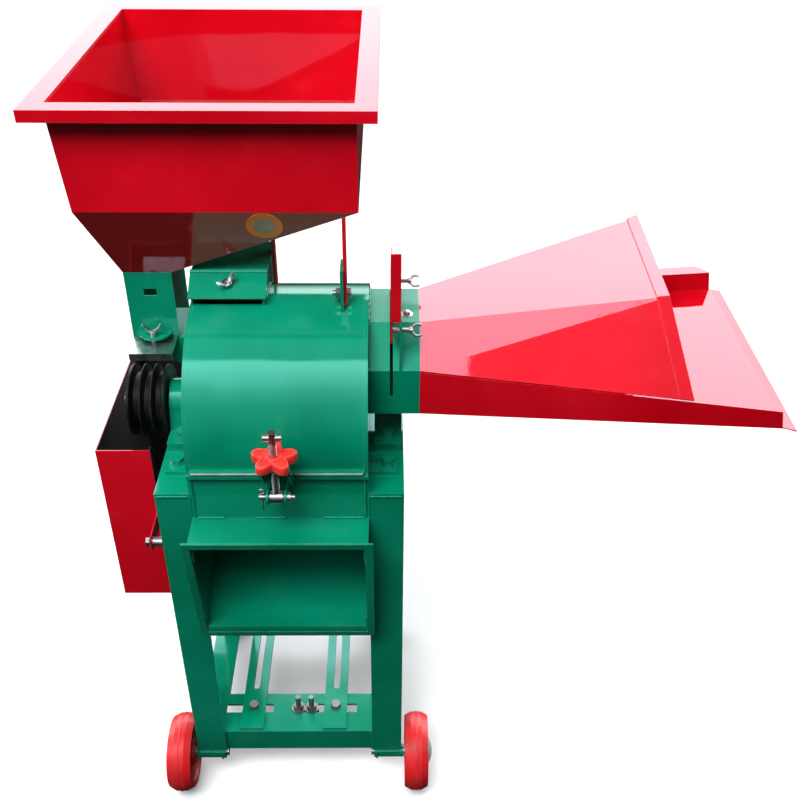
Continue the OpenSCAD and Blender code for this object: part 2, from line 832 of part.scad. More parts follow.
module left_cover_plate() {
  color(green) difference() {
    cover_plate();
    translate([-bay - 1, spout_y[0] + sheet, throat_z[0] + sheet])
      cube([plate + 3, spout_y[1] - spout_y[0] - 2 * sheet, throat_z[1] - throat_z[0] - 2 * sheet]);
  }
}

// Feed opening: the collar's outline in the Y-Z plane, moved in by a wall thickness.
collar_floor = shaft_z + 41;
collar_top = shaft_z + 177;
collar_front = 101;
collar_back = 274;
slant_low = shaft_z + 124;
slant_back = 163;
module collar_outline(inset) {
  diagonal = inset * 0.45;
  polygon([[collar_front + inset, collar_floor + inset], [collar_front + inset, slant_low - diagonal],
           [slant_back + diagonal, collar_top - inset], [collar_back - inset, collar_top - inset],
           [collar_back - inset, collar_floor + inset]]);
}

module right_cover_plate() {
  color(green) difference() {
    mirror([1, 0, 0]) cover_plate();
    along_x(bay - plate - 2, bay + 1) collar_outline(3);
  }
}

teeth = 22;
tooth_step = 150 / teeth;

// Point of the liner's outline at tooth i, at radius r from the shaft.
function tooth(i, r) = [shaft_y + r * cos(15 + i * tooth_step), shaft_z + r * sin(15 + i * tooth_step)];

// Toothed liner that the hammers throw the grain against.
module cover_liner() {
  liner_r = drum_r - cover_sheet;
  profile = concat(
    [for (i = [0 : teeth - 1]) each [tooth(i, 182), tooth(i + 0.7, 174)]],
    [tooth(teeth, 182)],
    [for (i = [teeth : -1 : 0]) tooth(i, liner_r / cos(tooth_step / 2) + 1)]
  );
  color("dimgray") difference() {
    intersection() {
      along_x(-132, 94) polygon(profile);
      bar_x(-140, 100, shaft_y, shaft_z, liner_r);
    }
    discharge_opening();
  }
}

wall = 2.5;
hopper_right = hopper_left + hopper_w;
hopper_back = hopper_front + hopper_d;
box_low = 1160;
neck_z = 1028;

// Solid between two level rectangles given as [x0, x1, y0, y1], at heights z0 and z1.
module frustum(low, z0, high, z1) {
  polyhedron(
    points = [[low[0], low[2], z0], [low[1], low[2], z0], [low[1], low[3], z0], [low[0], low[3], z0],
              [high[0], high[2], z1], [high[1], high[2], z1], [high[1], high[3], z1], [high[0], high[3], z1]],
    faces = [[0, 1, 2, 3], [7, 6, 5, 4], [0, 4, 5, 1], [1, 5, 6, 2], [2, 6, 7, 3], [3, 7, 4, 0]]
  );
}

// Shrinks a rectangle by d on every side.
function shrink(r, d) = [r[0] + d, r[1] - d, r[2] + d, r[3] - d];

rim_rect = [hopper_left, hopper_right, hopper_front, hopper_back];
wall_rect = shrink(rim_rect, lip_w);
box_rect = [wall_rect[0] + 12, wall_rect[1], wall_rect[2] + 2, wall_rect[3] - 2];
neck_rect = [spout_x[0], spout_x[1], spout_y[0], spout_y[1]];

// Hopper: folded rim, straight-walled box and the off-centre funnel down to the spout.
module hopper() {
  fascia = 18;
  color(red) {
    difference() {
      union() {
        frustum(rim_rect, hopper_top - fascia, rim_rect, hopper_top);
        frustum(box_rect, box_low, wall_rect, hopper_top - fascia + 1);
        frustum(neck_rect, neck_z, box_rect, box_low);
      }
      frustum(shrink(wall_rect, wall), hopper_top - sheet - 1, shrink(wall_rect, wall), hopper_top + 1);
      frustum(shrink(box_rect, wall), box_low, shrink(wall_rect, wall), hopper_top);
      frustum(shrink(neck_rect, wall), neck_z - 0.01, shrink(box_rect, wall), box_low + 0.01);
      difference() {
        frustum(shrink(rim_rect, sheet), hopper_top - fascia - 1,
                shrink(rim_rect, sheet), hopper_top - sheet);
        frustum(wall_rect, hopper_top - fascia - 2, wall_rect, hopper_top);
      }
    }
  }
}

strap_x = 104;
strap_y = 183;
strap_bolt_z = shaft_z + 219;

// Two flat bars that steady the hopper: one bolted to the cover's lug, one welded to the cover.
module hopper_straps() {
  color(red) difference() {
    union() {
      translate([strap_x, strap_y - 13, shaft_z + 203]) cube([5, 26, 160]);
      translate([-19, 279, shaft_z + 150]) cube([5, 22, 180]);
    }
    frustum(neck_rect, neck_z, box_rect, box_low);
    bar_x(-bay, strap_x - 1, shaft_y, shaft_z, drum_r);
    bar_x(strap_x - 1, strap_x + 10, strap_y, strap_bolt_z, 5 + gap);
  }
}

module strap_bolts() {
  color(zinc) {
    bar_x(strap_x - 18, strap_x + 12, strap_y, strap_bolt_z, 5);
    for (x = [strap_x - 13, strap_x + 5]) translate([x, strap_y, strap_bolt_z]) rotate([0, 90, 0])
      cylinder(r = 9.5, h = x < strap_x ? 8 : 6, $fn = 6);
  }
}

gate_plane = shaft_z + 110;
gate_t = 3;

// Grain spout: square duct below the hopper, a slot for the slide gate and a sloping throat.
module grain_spout() {
  tab_x = (spout_x[0] + spout_x[1]) / 2;
  color(green) difference() {
    union() {
      translate([spout_x[0], spout_y[0], gate_plane])
        cube([spout_x[1] - spout_x[0], spout_y[1] - spout_y[0], neck_z - gate_plane]);
      along_y(spout_y[0], spout_y[1])
        polygon([[spout_x[0], gate_plane + 1], [spout_x[0], gate_plane - 18], [-bay, throat_z[0]],
                 [-bay, throat_z[1]], [spout_x[1], throat_z[1]], [spout_x[1], gate_plane + 1]]);
      translate([tab_x, spout_y[0] + 1, gate_plane + gate_t + 6]) difference() {
        cylinder(r = 28, h = 4);
        translate([-30, 0, -1]) cube([60, 30, 6]);
      }
    }
    translate([spout_x[0] + sheet, spout_y[0] + sheet, gate_plane - 8])
      cube([spout_x[1] - spout_x[0] - 2 * sheet, spout_y[1] - spout_y[0] - 2 * sheet,
            neck_z - gate_plane + 9]);
    along_y(spout_y[0] + sheet, spout_y[1] - sheet)
      polygon([[spout_x[0] + sheet, gate_plane], [spout_x[0] + sheet, gate_plane - 17],
               [-bay + 1, throat_z[0] + sheet], [-bay + 1, throat_z[1] - sheet],
               [spout_x[1] - 4, throat_z[1] - sheet]]);
    translate([spout_x[0] + sheet, spout_y[0] - 5, gate_plane - 0.3])
      cube([spout_x[1] - spout_x[0] - 2 * sheet, 10, gate_t + 0.6]);
    translate([tab_x - 10, spout_y[0] - 1, 985]) cube([21, 6, 13]);
    translate([tab_x, spout_y[0] - 19, gate_plane]) cylinder(r = 4.3, h = 20);
  }
}

// Galvanised slide gate with a folded pull edge.
module grain_gate() {
  x0 = spout_x[0] + sheet + 1;
  width = spout_x[1] - spout_x[0] - 2 * sheet - 2;
  color("lightgray") {
    translate([x0, 168, gate_plane]) cube([width, spout_y[1] - sheet - 3 - 168, gate_t]);
    translate([x0, 168, gate_plane - 10]) cube([width, gate_t, 11]);
  }
}

// Discharge box on the cover: two side plates, a back plate and a flat top.
module discharge_box() {
  rise = box_bend[1];
  color(green) difference() {
    union() {
      for (x = [box_x[0], box_x[1] - sheet]) along_x(x, x + sheet)
        polygon([[box_y[0], shaft_z + 150], [box_y[0], box_front_z - 3], [box_bend[0], rise - 3],
                 [box_y[1], rise - 3], [box_y[1], shaft_z + 100]]);
      translate([box_x[0], box_y[1] - sheet, shaft_z + 100])
        cube([box_x[1] - box_x[0], sheet, rise - 3 - shaft_z - 100]);
      translate([box_x[0] - 4, box_bend[0] + 4, rise - 3])
        cube([box_x[1] - box_x[0] + 8, box_y[1] - box_bend[0] - 2, 3]);
    }
    along_x(-bay - 1, bay) half_disc(drum_r, true);
  }
}

lid_skirt = 9;
lid_skirt_start = 18;
lid_len = norm([box_bend[0] - box_y[0] + 6, box_bend[1] - box_front_z]);
lid_slope = atan2(box_bend[1] - box_front_z, box_bend[0] - box_y[0] + 6);

// Places its children in the lid's own plane: origin at the bend, -Y down the slope.
module in_lid_plane() {
  translate([0, box_bend[0], box_bend[1]]) rotate([lid_slope, 0, 0]) children();
}

// Sloping flap over the mouth of the discharge box, hinged along the bend.
module discharge_lid() {
  mid = (box_x[0] + box_x[1]) / 2;
  color(green) difference() {
    in_lid_plane() {
      translate([box_x[0] - 4, -lid_len, 0]) cube([box_x[1] - box_x[0] + 8, lid_len - 3, 3]);
      for (x = [box_x[0] - 4, box_x[1] + 1.5]) translate([x, lid_skirt_start - lid_len, -lid_skirt])
        cube([2.5, lid_len - lid_skirt_start - 14, lid_skirt + 1]);
      bar_x(box_x[0] - 4, box_x[1] + 4, 0, 2, 4);
    }
    in_lid_plane() translate([mid, -lid_len * 0.5, -5]) cylinder(r = 4.3, h = 12);
  }
}

// Wing bolt set upright along the normal of what it clamps.
module wing_bolt_at(position, turn, thread) {
  color(zinc) translate(position) rotate(turn) wing_bolt(8, thread);
}

module lid_wing_bolt() {
  mid = (box_x[0] + box_x[1]) / 2;
  color(zinc) in_lid_plane() translate([mid, -lid_len * 0.5, 3]) wing_bolt(8, 9);
}

module spout_wing_bolt() {
  wing_bolt_at([(spout_x[0] + spout_x[1]) / 2, spout_y[0] - 19, gate_plane + gate_t + 15], [0, 0, 0], 14);
}

feed_gate_x = 178;
feed_gate_t = 3;
feed_gate_flange = 16;
clamp_plate_x = 192;
clamp_plate_t = 4;
gate_bolt_x = 204.5;
gate_bolt_thread = 23;
gate_bolt_front = [112, 988];
gate_bolt_rear = [254, 998];

module feed_collar() {
  color(green) difference() {
    union() {
      along_x(bay, collar_x) collar_outline(0);
      along_x(clamp_plate_x, clamp_plate_x + clamp_plate_t) {
        polygon([[101, 915], [101, 1000], [116, 1004], [134, 985], [140, 950]]);
        polygon([[240, 970], [240, 1004], [248, 1012], [262, 1012], [268, 1004], [268, 970]]);
      }
    }
    along_x(bay - 1, collar_x + 1) collar_outline(3);
    translate([feed_gate_x - 1, 90, 869]) cube([feed_gate_t + 2, collar_back - 5 - 90, 140]);
    for (bolt = [gate_bolt_front, gate_bolt_rear])
      bar_x(clamp_plate_x - 1, clamp_plate_x + 6, bolt[0], bolt[1], 4.3);
  }
}

// Feed gate: a plate that drops through the collar, with a folded front flange.
module feed_gate() {
  low = collar_top - 4;
  color(red) {
    along_x(feed_gate_x, feed_gate_x + feed_gate_t)
      polygon([[96, 1128], [96, 1012], [105, 1004], [105, low], [266, low], [266, 1010], [118, 1128]]);
    translate([feed_gate_x, 94, 1012]) cube([feed_gate_flange, 2.5, 116]);
  }
}

module gate_wing_bolt() {
  wing_bolt_at([gate_bolt_x, gate_bolt_front[0], gate_bolt_front[1]], [0, 90, 0], gate_bolt_thread);
}

module collar_wing_bolt() {
  wing_bolt_at([gate_bolt_x, gate_bolt_rear[0], gate_bolt_rear[1]], [0, 90, 0], gate_bolt_thread);
}

// Flat sheet between four corners, thickened along the normal of its first three.
module panel(p, t) {
  n = cross(p[1] - p[0], p[2] - p[0]);
  shift = t * n / norm(n);
  q = [for (corner = p) corner + shift];
  polyhedron(points = concat(p, q),
             faces = [[0, 2, 1], [0, 3, 2], [4, 5, 6], [4, 6, 7], [0, 1, 5], [0, 5, 4], [1, 2, 6], [1, 6, 5],
                      [2, 3, 7], [2, 7, 6], [3, 0, 4], [3, 4, 7]]);
}

tray_z = collar_floor;
bend_x = collar_x + 415;
bend_y = 498;
tray_near_y = 58;
tray_far_y = tray_near_y + tray_end_w;
wall_end_x = tray_right - 30;

function near_y(x) = collar_front + (tray_near_y - collar_front) * (x - collar_x) / (tray_right - collar_x);
function far_y(x) = x < bend_x ? collar_back + (bend_y - collar_back) * (x - collar_x) / (bend_x - collar_x)
                               : bend_y + (tray_far_y - bend_y) * (x - bend_x) / (tray_right - bend_x);
function near_wall_z(x) = 916 - 50 * (x - collar_x) / (tray_right - collar_x);
side_wall_h = 40;

// Plan of the tray, drawn in by a wall thickness where inset is given.
module tray_plan(inset, x0, x1) {
  polygon([[x0, near_y(x0) + inset], [x1, near_y(x1) + inset], [x1, far_y(x1) - inset],
           [bend_x, bend_y - inset], [x0, far_y(collar_x) - inset]]);
}

// Open tray: flaring floor, near wall, far wall with its flange, and the folded lip at its end.
module feed_tray() {
  lip_x = tray_right - 20;
  lip_step = 0.5;
  far_top = tray_z + side_wall_h;
  mitre_x = lip_x - 4;
  wall_h = near_wall_z(collar_x) - tray_z;
  color(red) {
    difference() {
      translate([0, 0, tray_z]) linear_extrude(wall_h) tray_plan(0, collar_x, lip_x);
      translate([0, 0, tray_z + sheet]) linear_extrude(wall_h) tray_plan(sheet, collar_x - 1, lip_x + 1);
      along_y(0, 200) polygon([[collar_x - 1, near_wall_z(collar_x)], [wall_end_x, near_wall_z(wall_end_x)],
                               [mitre_x, tray_z + sheet], [tray_right, tray_z + sheet], [tray_right, 950],
                               [collar_x - 1, 950]]);
      along_y(200, 600) polygon([[collar_x - 1, far_top], [wall_end_x, far_top], [mitre_x, tray_z + sheet],
                                 [tray_right, tray_z + sheet], [tray_right, 950], [collar_x - 1, 950]]);
    }
    intersection() {
      translate([0, 0, tray_z - 20]) linear_extrude(40) tray_plan(lip_step, collar_x, tray_right);
      along_y(0, 600) polygon([[lip_x - 3, tray_z + lip_step], [tray_right, tray_z - 6],
                               [tray_right, tray_z - 6 + sheet], [lip_x - 3, tray_z + sheet - lip_step]]);
    }
    translate([0, 0, far_top - sheet]) linear_extrude(sheet)
      polygon([[bend_x, bend_y - 1], [wall_end_x, far_y(wall_end_x) - 1],
               [wall_end_x - 20, far_y(wall_end_x) + 24], [bend_x, bend_y + 24]]);
  }
}

// Band of the hood's rim between two edges that run along the hood, raised along each edge's own offset.
module rim_band(p0, p1, rise_p, q0, q1, rise_q, depth) {
  p = p1 + depth * (p0 - p1);
  q = q1 + depth * (q0 - q1);
  polyhedron(points = [p - rise_p / 4, p1 - rise_p / 4, q1 - rise_q / 4, q - rise_q / 4,
                       p + rise_p, p1 + rise_p, q1 + rise_q, q + rise_q],
             faces = [[0, 1, 2], [0, 2, 3], [4, 6, 5], [4, 7, 6], [0, 5, 1], [0, 4, 5], [1, 6, 2], [1, 5, 6],
                      [2, 7, 3], [2, 6, 7], [3, 4, 0], [3, 7, 4]]);
}

// Hood over the tray: slanted front, flat top, upright back and a raised rim at its open end.
module feed_hood() {
  front_end_x = bend_x + 19;
  top_z = collar_top + 26;
  low_z = tray_z + side_wall_h + 0.2;
  front_low = [front_end_x, near_y(front_end_x), near_wall_z(front_end_x) + 3];
  front_high = [bend_x - 9, collar_front + 100, top_z];
  back_high = [bend_x, bend_y + 6, top_z];
  back_low = [bend_x, bend_y, low_z];
  a = [collar_x, collar_front, slant_low];
  b = [collar_x, slant_back, collar_top];
  c = [collar_x, collar_back, collar_top];
  d = [collar_x, collar_back, low_z];
  depth = 0.05;
  rise = 3;
  color(red) {
    panel([a, front_low, front_high, b], -sheet);
    panel([b, front_high, back_high, c], -sheet);
    panel([c, back_high, back_low, d], -sheet);
    rim_band(a, front_low, [0, -0.65, 0.75] * rise, b, front_high, [0, -0.37, 1] * rise, depth);
    rim_band(b, front_high, [0, -0.37, 1] * rise, c, back_high, [0, 1, 1] * rise, depth);
    rim_band(c, back_high, [0, 1, 1] * rise, d, back_low, [0, 1, 0] * rise, depth);
  }
}

placed() left_front_leg();
placed() right_front_leg();
placed() left_rear_leg();
placed() right_rear_leg();
placed() left_top_rail();
placed() right_top_rail();
placed() front_cross_rail();
placed() rear_cross_rail();
placed() lower_side_rails();
placed() axle_brackets();
placed() stub_axles();
placed() hub_caps();
placed() motor_rails();
placed() motor_rail_bolts();
placed() spare_bolts();
placed() lower_housing();
placed() sieve_screen();
placed() left_bearing_block();
placed() right_bearing_block();
placed() bearing_inserts();
placed() rail_bolts();
placed() belt_guard();
placed() guard_bolts();
placed() clamp_ears();
placed() clamp_pin();
placed() clamp_split_pin();
placed() cover_hinge_pin();
placed() drive_shaft();
placed() drive_pulley();
placed() rotor_discs();
placed() disc_spacers();
placed() hammer_pins();
placed() cutter_knives();
placed() hammer_row_1();
placed() hammer_row_2();
placed() hammer_row_3();
placed() left_wheel();
placed() right_wheel();
placed() cover_shell();
placed() left_cover_plate();
placed() right_cover_plate();
placed() cover_liner();
placed() clamp_saddle();
placed() hopper();
placed() hopper_straps();
placed() strap_bolts();
placed() grain_spout();
placed() discharge_box();
placed() feed_collar();
placed() feed_hood();
placed() feed_tray();
placed() grain_gate();
placed() feed_gate();
placed() discharge_lid();
placed() swing_bolt();
placed() star_knob();
placed() spout_wing_bolt();
placed() lid_wing_bolt();
placed() gate_wing_bolt();
placed() collar_wing_bolt();
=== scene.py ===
import json
import math
from collections import namedtuple

import bmesh
import bpy
from mathutils import Matrix, Vector


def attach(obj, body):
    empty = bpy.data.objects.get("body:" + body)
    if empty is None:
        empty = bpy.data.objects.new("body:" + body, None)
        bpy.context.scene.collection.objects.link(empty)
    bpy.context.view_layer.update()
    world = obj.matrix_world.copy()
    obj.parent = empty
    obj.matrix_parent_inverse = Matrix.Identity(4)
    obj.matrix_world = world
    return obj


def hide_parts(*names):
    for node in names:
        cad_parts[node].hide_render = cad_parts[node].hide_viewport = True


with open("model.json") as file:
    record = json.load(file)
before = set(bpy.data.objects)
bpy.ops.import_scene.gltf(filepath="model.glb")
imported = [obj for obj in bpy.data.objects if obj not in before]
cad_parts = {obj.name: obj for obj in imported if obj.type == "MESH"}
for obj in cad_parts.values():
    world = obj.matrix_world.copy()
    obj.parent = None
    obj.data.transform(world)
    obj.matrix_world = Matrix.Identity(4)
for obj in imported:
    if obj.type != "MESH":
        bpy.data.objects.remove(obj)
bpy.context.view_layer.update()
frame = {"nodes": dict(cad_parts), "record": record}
nodes = frame["nodes"]

# Driving sizes in millimetres, on the stand's axes: X = 0 mid-stand, Y = 0 at the front of the legs

# Half the stand's width over its legs, and half the bay between their flanges
HALF_W = 200.0
BAY = 143.0

# The stand's depth, its steel's thickness, and the heights of its rails and feet
STAND_D = 400.0
STEEL = 5.0
RAIL_TOP = 750.0
CROSS_RAIL_TOP = 140.0
FOOT_Z = 87.0

# The drum round the shaft
SHAFT_Y = 200.0
SHAFT_Z = 795.0
DRUM_R = 200.0

# The outlet's mouth leans forward from its lower lip to its upper one
MOUTH_Y = -25.0
MOUTH_LOW = 455.0
MOUTH_TOP = 700.0
MOUTH_REACH = 70.0
MOUTH_HEIGHT = 249.1
MOUTH_TILT = math.atan2(MOUTH_REACH + MOUTH_Y, MOUTH_TOP - MOUTH_LOW)

# The clamp's swing bolt stands upright in front of the cover
CLAMP_X = 3.0
CLAMP_Y = -46.0
KNOB_LOW = 850.0

# The middle of the whole machine, under which the scene has its origin
MID_X = 245.5
MID_Y = 313.185

UPRIGHT = (0, 0, 1)
RIGHTWARD = (1, 0, 0)


def at(x, y, z):
    """A point of the stand, given in millimetres, in the scene's metres."""
    return Vector(((x - MID_X) / 1000, (y - MID_Y) / 1000, z / 1000))


def mm(value):
    return value / 1000


# Numbers of the colour mixer's sockets, whose names repeat
MIX_FACTOR = 0
MIX_FIRST = 6
MIX_SECOND = 7
MIX_RESULT = 2


class Graph:
    """Adds shader nodes to the node tree of a material or of the sky."""

    def __init__(self, tree, coordinates):
        self.tree = tree
        self.place = self.add("ShaderNodeTexCoord").outputs[coordinates]

    def add(self, kind, inputs=(), **settings):
        """New node with its settings; its inputs are given by name or number, as values or as sockets."""
        node = self.tree.nodes.new(kind)
        for name, value in settings.items():
            setattr(node, name, value)
        self.feed(node, inputs)
        return node

    def feed(self, node, inputs):
        """Gives a node's inputs their values, or links them to sockets."""
        for name, value in dict(inputs).items():
            if isinstance(value, bpy.types.NodeSocket):
                self.tree.links.new(value, node.inputs[name])
            else:
                node.inputs[name].default_value = value

    def noise(self, scale, detail=3.0, rough=0.55, stretch=None):
        place = self.place
        if stretch is not None:
            place = self.add("ShaderNodeMapping", {"Vector": place, "Scale": stretch}).outputs["Vector"]
        inputs = {"Vector": place, "Scale": scale, "Detail": detail, "Roughness": rough}
        return self.add("ShaderNodeTexNoise", inputs).outputs["Fac"]

    def ramp(self, value, low, high, least=0.0, most=1.0, **settings):
        """Turns low into least and high into most, evenly in between."""
        inputs = {"Value": value, "From Min": low, "From Max": high, "To Min": least, "To Max": most}
        return self.add("ShaderNodeMapRange", inputs, **settings).outputs["Result"]

    def mix(self, factor, first, second):
        """Mixes two colours, each a plain colour or a socket."""
        node = self.add("ShaderNodeMix", {MIX_FACTOR: factor}, data_type="RGBA")
        for index, colour in ((MIX_FIRST, first), (MIX_SECOND, second)):
            plain = not isinstance(colour, bpy.types.NodeSocket)
            self.feed(node, {index: (*colour, 1.0) if plain else colour})
        return node.outputs[MIX_RESULT]

    def calculate(self, operation, *values):
        """Sum, product or the like of values and sockets."""
        return self.add("ShaderNodeMath", enumerate(values), operation=operation).outputs["Value"]

    def bump(self, height, strength, distance, before=None):
        """Bent normals; before is the socket of a bump that comes first."""
        inputs = {"Height": height, "Strength": strength, "Distance": distance}
        if before is not None:
            inputs["Normal"] = before
        return self.add("ShaderNodeBump", inputs).outputs["Normal"]

    def within(self, low, high):
        """1 inside a box between two corners, given in the stand's millimetres, and 0 outside it."""
        spot = self.add("ShaderNodeSeparateXYZ", {"Vector": self.place})
        inside = None
        for axis, start, end in zip("XYZ", at(*low), at(*high)):
            near = self.calculate("COMPARE", spot.outputs[axis], (start + end) / 2, (end - start) / 2)
            inside = near if inside is None else self.calculate("MULTIPLY", inside, near)
        return inside

    def edges(self, radius):
        """1 on sharp edges and 0 on flat faces, broken up by noise."""
        rounded = self.add("ShaderNodeBevel", {"Radius": radius}, samples=6).outputs["Normal"]
        normal = self.add("ShaderNodeNewGeometry").outputs["Normal"]
        facing = self.add("ShaderNodeVectorMath", {0: rounded, 1: normal}, operation="DOT_PRODUCT")
        edge = self.ramp(facing.outputs["Value"], 0.995, 0.90)
        breaks = self.ramp(self.noise(55.0, 4.0), 0.42, 0.62)
        return self.calculate("MULTIPLY", edge, breaks)


class Paint(Graph):
    """A new material with one shader."""

    def __init__(self, name):
        self.material = bpy.data.materials.new(name)
        self.material.use_nodes = True
        tree = self.material.node_tree
        tree.nodes.clear()
        super().__init__(tree, "Object")
        self.shader = self.add("ShaderNodeBsdfPrincipled")
        self.add("ShaderNodeOutputMaterial", {"Surface": self.shader.outputs["BSDF"]})

    def finish(self, inputs):
        """Feeds the shader and gives the finished material."""
        self.feed(self.shader, inputs)
        return self.material


# Paints and metals
Tones = namedtuple("Tones", "plain light dark worn glare")

GREEN = Tones(
    plain=(0.000, 0.205, 0.112),
    light=(0.002, 0.255, 0.145),
    dark=(0.000, 0.160, 0.082),
    worn=(0.30, 0.44, 0.38),
    glare=(0.36, 1.0, 0.93),
)
RED = Tones(
    plain=(0.60, 0.002, 0.010),
    light=(0.68, 0.003, 0.014),
    dark=(0.50, 0.001, 0.007),
    worn=(0.72, 0.30, 0.28),
    glare=(1.0, 0.82, 1.0),
)
# Darker red painted on the hopper's funnel as shade
FUNNEL_SHADE_RED = (0.27, 0.012, 0.010)
LAP_LINE = (0.20, 0.02, 0.03)
# Near-black painted shade for the inside of the belt guard
PAINTED_SHADE_BLACK = (0.006, 0.002, 0.002)
DUST = (0.30, 0.27, 0.22)
RUST = (0.23, 0.10, 0.035)
FLOOR_DIRT = (0.20, 0.125, 0.075)

# Roughness from the glossiest to the dullest spots
GREEN_GLOSS = (0.05, 0.17)
DULL_GREEN_GLOSS = (0.22, 0.40)
RED_GLOSS = (0.015, 0.06)


def enamel(name, tones, gloss, grime, wave, shine=1.0, patches=()):
    """Glossy enamel on sheet steel: slow colour drift, runs, dust, chips on the edges.

    Each patch is a box, given by two corners, with its own colour and added roughness.
    """
    wear = 0.16
    paint = Paint(name)
    drift = paint.ramp(paint.noise(3.5), 0.32, 0.70)
    colour = paint.mix(drift, tones.dark, tones.light)
    specks = paint.ramp(paint.noise(240.0, 2.0), 0.60, 0.78, most=0.30)
    colour = paint.mix(specks, colour, tones.plain)
    dust_noise = paint.noise(14.0, 6.0, 0.65)
    dust = paint.ramp(dust_noise, 0.56, 0.86, most=grime)
    colour = paint.mix(dust, colour, DUST)
    chips = paint.calculate("MULTIPLY", paint.edges(0.0016), wear)
    colour = paint.mix(chips, colour, tones.worn)
    rough = paint.ramp(dust_noise, 0.35, 0.85, *gloss)
    for low, high, patch_colour, dulled in patches:
        inside = paint.within(low, high)
        colour = paint.mix(inside, colour, patch_colour)
        rough = paint.calculate("ADD", rough, paint.ramp(inside, 0.0, 1.0, most=dulled))
    sheet_wave = paint.bump(paint.noise(5.5, 1.0, 0.3), 0.22 * wave, 0.012)
    peel = paint.bump(paint.noise(420.0, 2.0, 0.5), 0.025, 0.0005, sheet_wave)
    runs = paint.bump(paint.noise(60.0, 2.0, 0.5, (1.0, 1.0, 0.18)), 0.05, 0.0012, peel)
    return paint.finish({
        "Base Color": colour, "Roughness": rough, "Normal": runs,
        "Specular IOR Level": shine, "Specular Tint": (*tones.glare, 1.0),
    })


def green_enamel(name, gloss=GREEN_GLOSS, shine=1.0):
    return enamel(name, GREEN, gloss, grime=0.06, wave=1.0, shine=shine)


def red_enamel(name, patches=(), wave=0.35):
    return enamel(name, RED, RED_GLOSS, grime=0.04, wave=wave, patches=patches)


def plated(name, bright, dull, gloss, rust):
    """Zinc or bare steel: streaky tone, fine scratches, a little rust in places."""
    metal = Paint(name)
    tone = metal.ramp(metal.noise(38.0, 5.0, 0.6), 0.35, 0.68)
    colour = metal.mix(tone, bright, dull)
    rusty = metal.ramp(metal.noise(90.0, 6.0, 0.7), 0.60, 0.74, most=rust)
    colour = metal.mix(rusty, colour, RUST)
    scratches = metal.noise(160.0, 3.0, 0.6, (1.0, 0.12, 1.0))
    fine = metal.bump(scratches, 0.12, 0.0004)
    pits = metal.bump(metal.noise(260.0, 3.0, 0.6), 0.10, 0.0005, fine)
    return metal.finish({
        "Base Color": colour, "Roughness": metal.ramp(scratches, 0.3, 0.7, *gloss), "Normal": pits,
        "Metallic": 1.0,
    })


def spangled(name):
    """Galvanised sheet with its crystal spangle."""
    metal = Paint(name)
    crystals = metal.add("ShaderNodeTexVoronoi", {"Vector": metal.place, "Scale": 130.0}, feature="F1")
    tone = metal.add("ShaderNodeSeparateColor", {"Color": crystals.outputs["Color"]})
    colour = metal.mix(tone.outputs["Red"], (0.50, 0.52, 0.54), (0.68, 0.70, 0.71))
    stains = metal.ramp(metal.noise(22.0, 5.0, 0.6), 0.52, 0.80, most=0.30)
    colour = metal.mix(stains, colour, (0.40, 0.41, 0.40))
    rough = metal.ramp(tone.outputs["Green"], 0.0, 1.0, 0.26, 0.44)
    grain = metal.bump(metal.noise(300.0, 2.0), 0.06, 0.0004)
    return metal.finish({"Base Color": colour, "Roughness": rough, "Normal": grain, "Metallic": 1.0})


def moulded(name, light, dark, scuffed, scuffs, gloss, low_dirt=False):
    """Moulded plastic with a soft sheen, mould texture and scuffs; low_dirt adds floor dirt low down."""
    plastic = Paint(name)
    drift = plastic.ramp(plastic.noise(16.0), 0.3, 0.7)
    colour = plastic.mix(drift, dark, light)
    scuff_noise = plastic.noise(34.0, 7.0, 0.7)
    colour = plastic.mix(plastic.ramp(scuff_noise, 0.55, 0.72, most=scuffs), colour, scuffed)
    if low_dirt:
        spot = plastic.add("ShaderNodeSeparateXYZ", {"Vector": plastic.place})
        low = plastic.ramp(spot.outputs["Z"], 0.085, 0.0)
        splashes = plastic.ramp(plastic.noise(48.0, 6.0, 0.7), 0.46, 0.66, most=0.75)
        colour = plastic.mix(plastic.calculate("MULTIPLY", low, splashes), colour, FLOOR_DIRT)
    rubbed = tuple(min(1.0, share * 1.6 + 0.05) for share in light)
    colour = plastic.mix(plastic.edges(0.0014), colour, rubbed)
    grain = plastic.bump(plastic.noise(500.0, 2.0), 0.06, 0.0004)
    lumps = plastic.bump(plastic.noise(45.0), 0.10, 0.0012, grain)
    return plastic.finish({
        "Base Color": colour, "Roughness": plastic.ramp(scuff_noise, 0.3, 0.8, *gloss), "Normal": lumps,
        "Coat Weight": 0.2, "Coat Roughness": 0.15,
    })


def cast_black(name):
    """Blackened cast iron with a sandy grain and paler edges."""
    iron = Paint(name)
    drift = iron.ramp(iron.noise(28.0, 5.0), 0.35, 0.7)
    colour = iron.mix(drift, (0.0025, 0.0025, 0.003), (0.007, 0.007, 0.008))
    colour = iron.mix(iron.edges(0.0012), colour, (0.06, 0.057, 0.054))
    rough = iron.ramp(drift, 0.0, 1.0, 0.42, 0.62)
    grain = iron.bump(iron.noise(210.0, 3.0, 0.6), 0.25, 0.0006)
    return iron.finish({
        "Base Color": colour, "Roughness": rough, "Normal": grain, "Specular IOR Level": 0.3,
    })


# Painted shade: the inside of the belt guard is painted near-black, with its gloss dulled, to stand for the
# shade inside it
GUARD_SHADE_PATCHES = (
    ((-313.7, 101.3, 400), (-200, 438.7, 761.5), PAINTED_SHADE_BLACK, 0.7),
)
# Painted shade: the hopper's downward-facing funnel is painted a darker, duller red. The strips of its rim
# lap at the two front corners, with a dark seam
HOPPER_SHADE_AND_LAP_PATCHES = (
    ((-340, 134, 980), (170, 710, 1159.5), FUNNEL_SHADE_RED, 0.02),
    ((-340, 151, 1325.2), (-313, 152.2, 1327), LAP_LINE, 0.3),
    ((133, 158, 1325.2), (160, 159.2, 1327), LAP_LINE, 0.3),
)

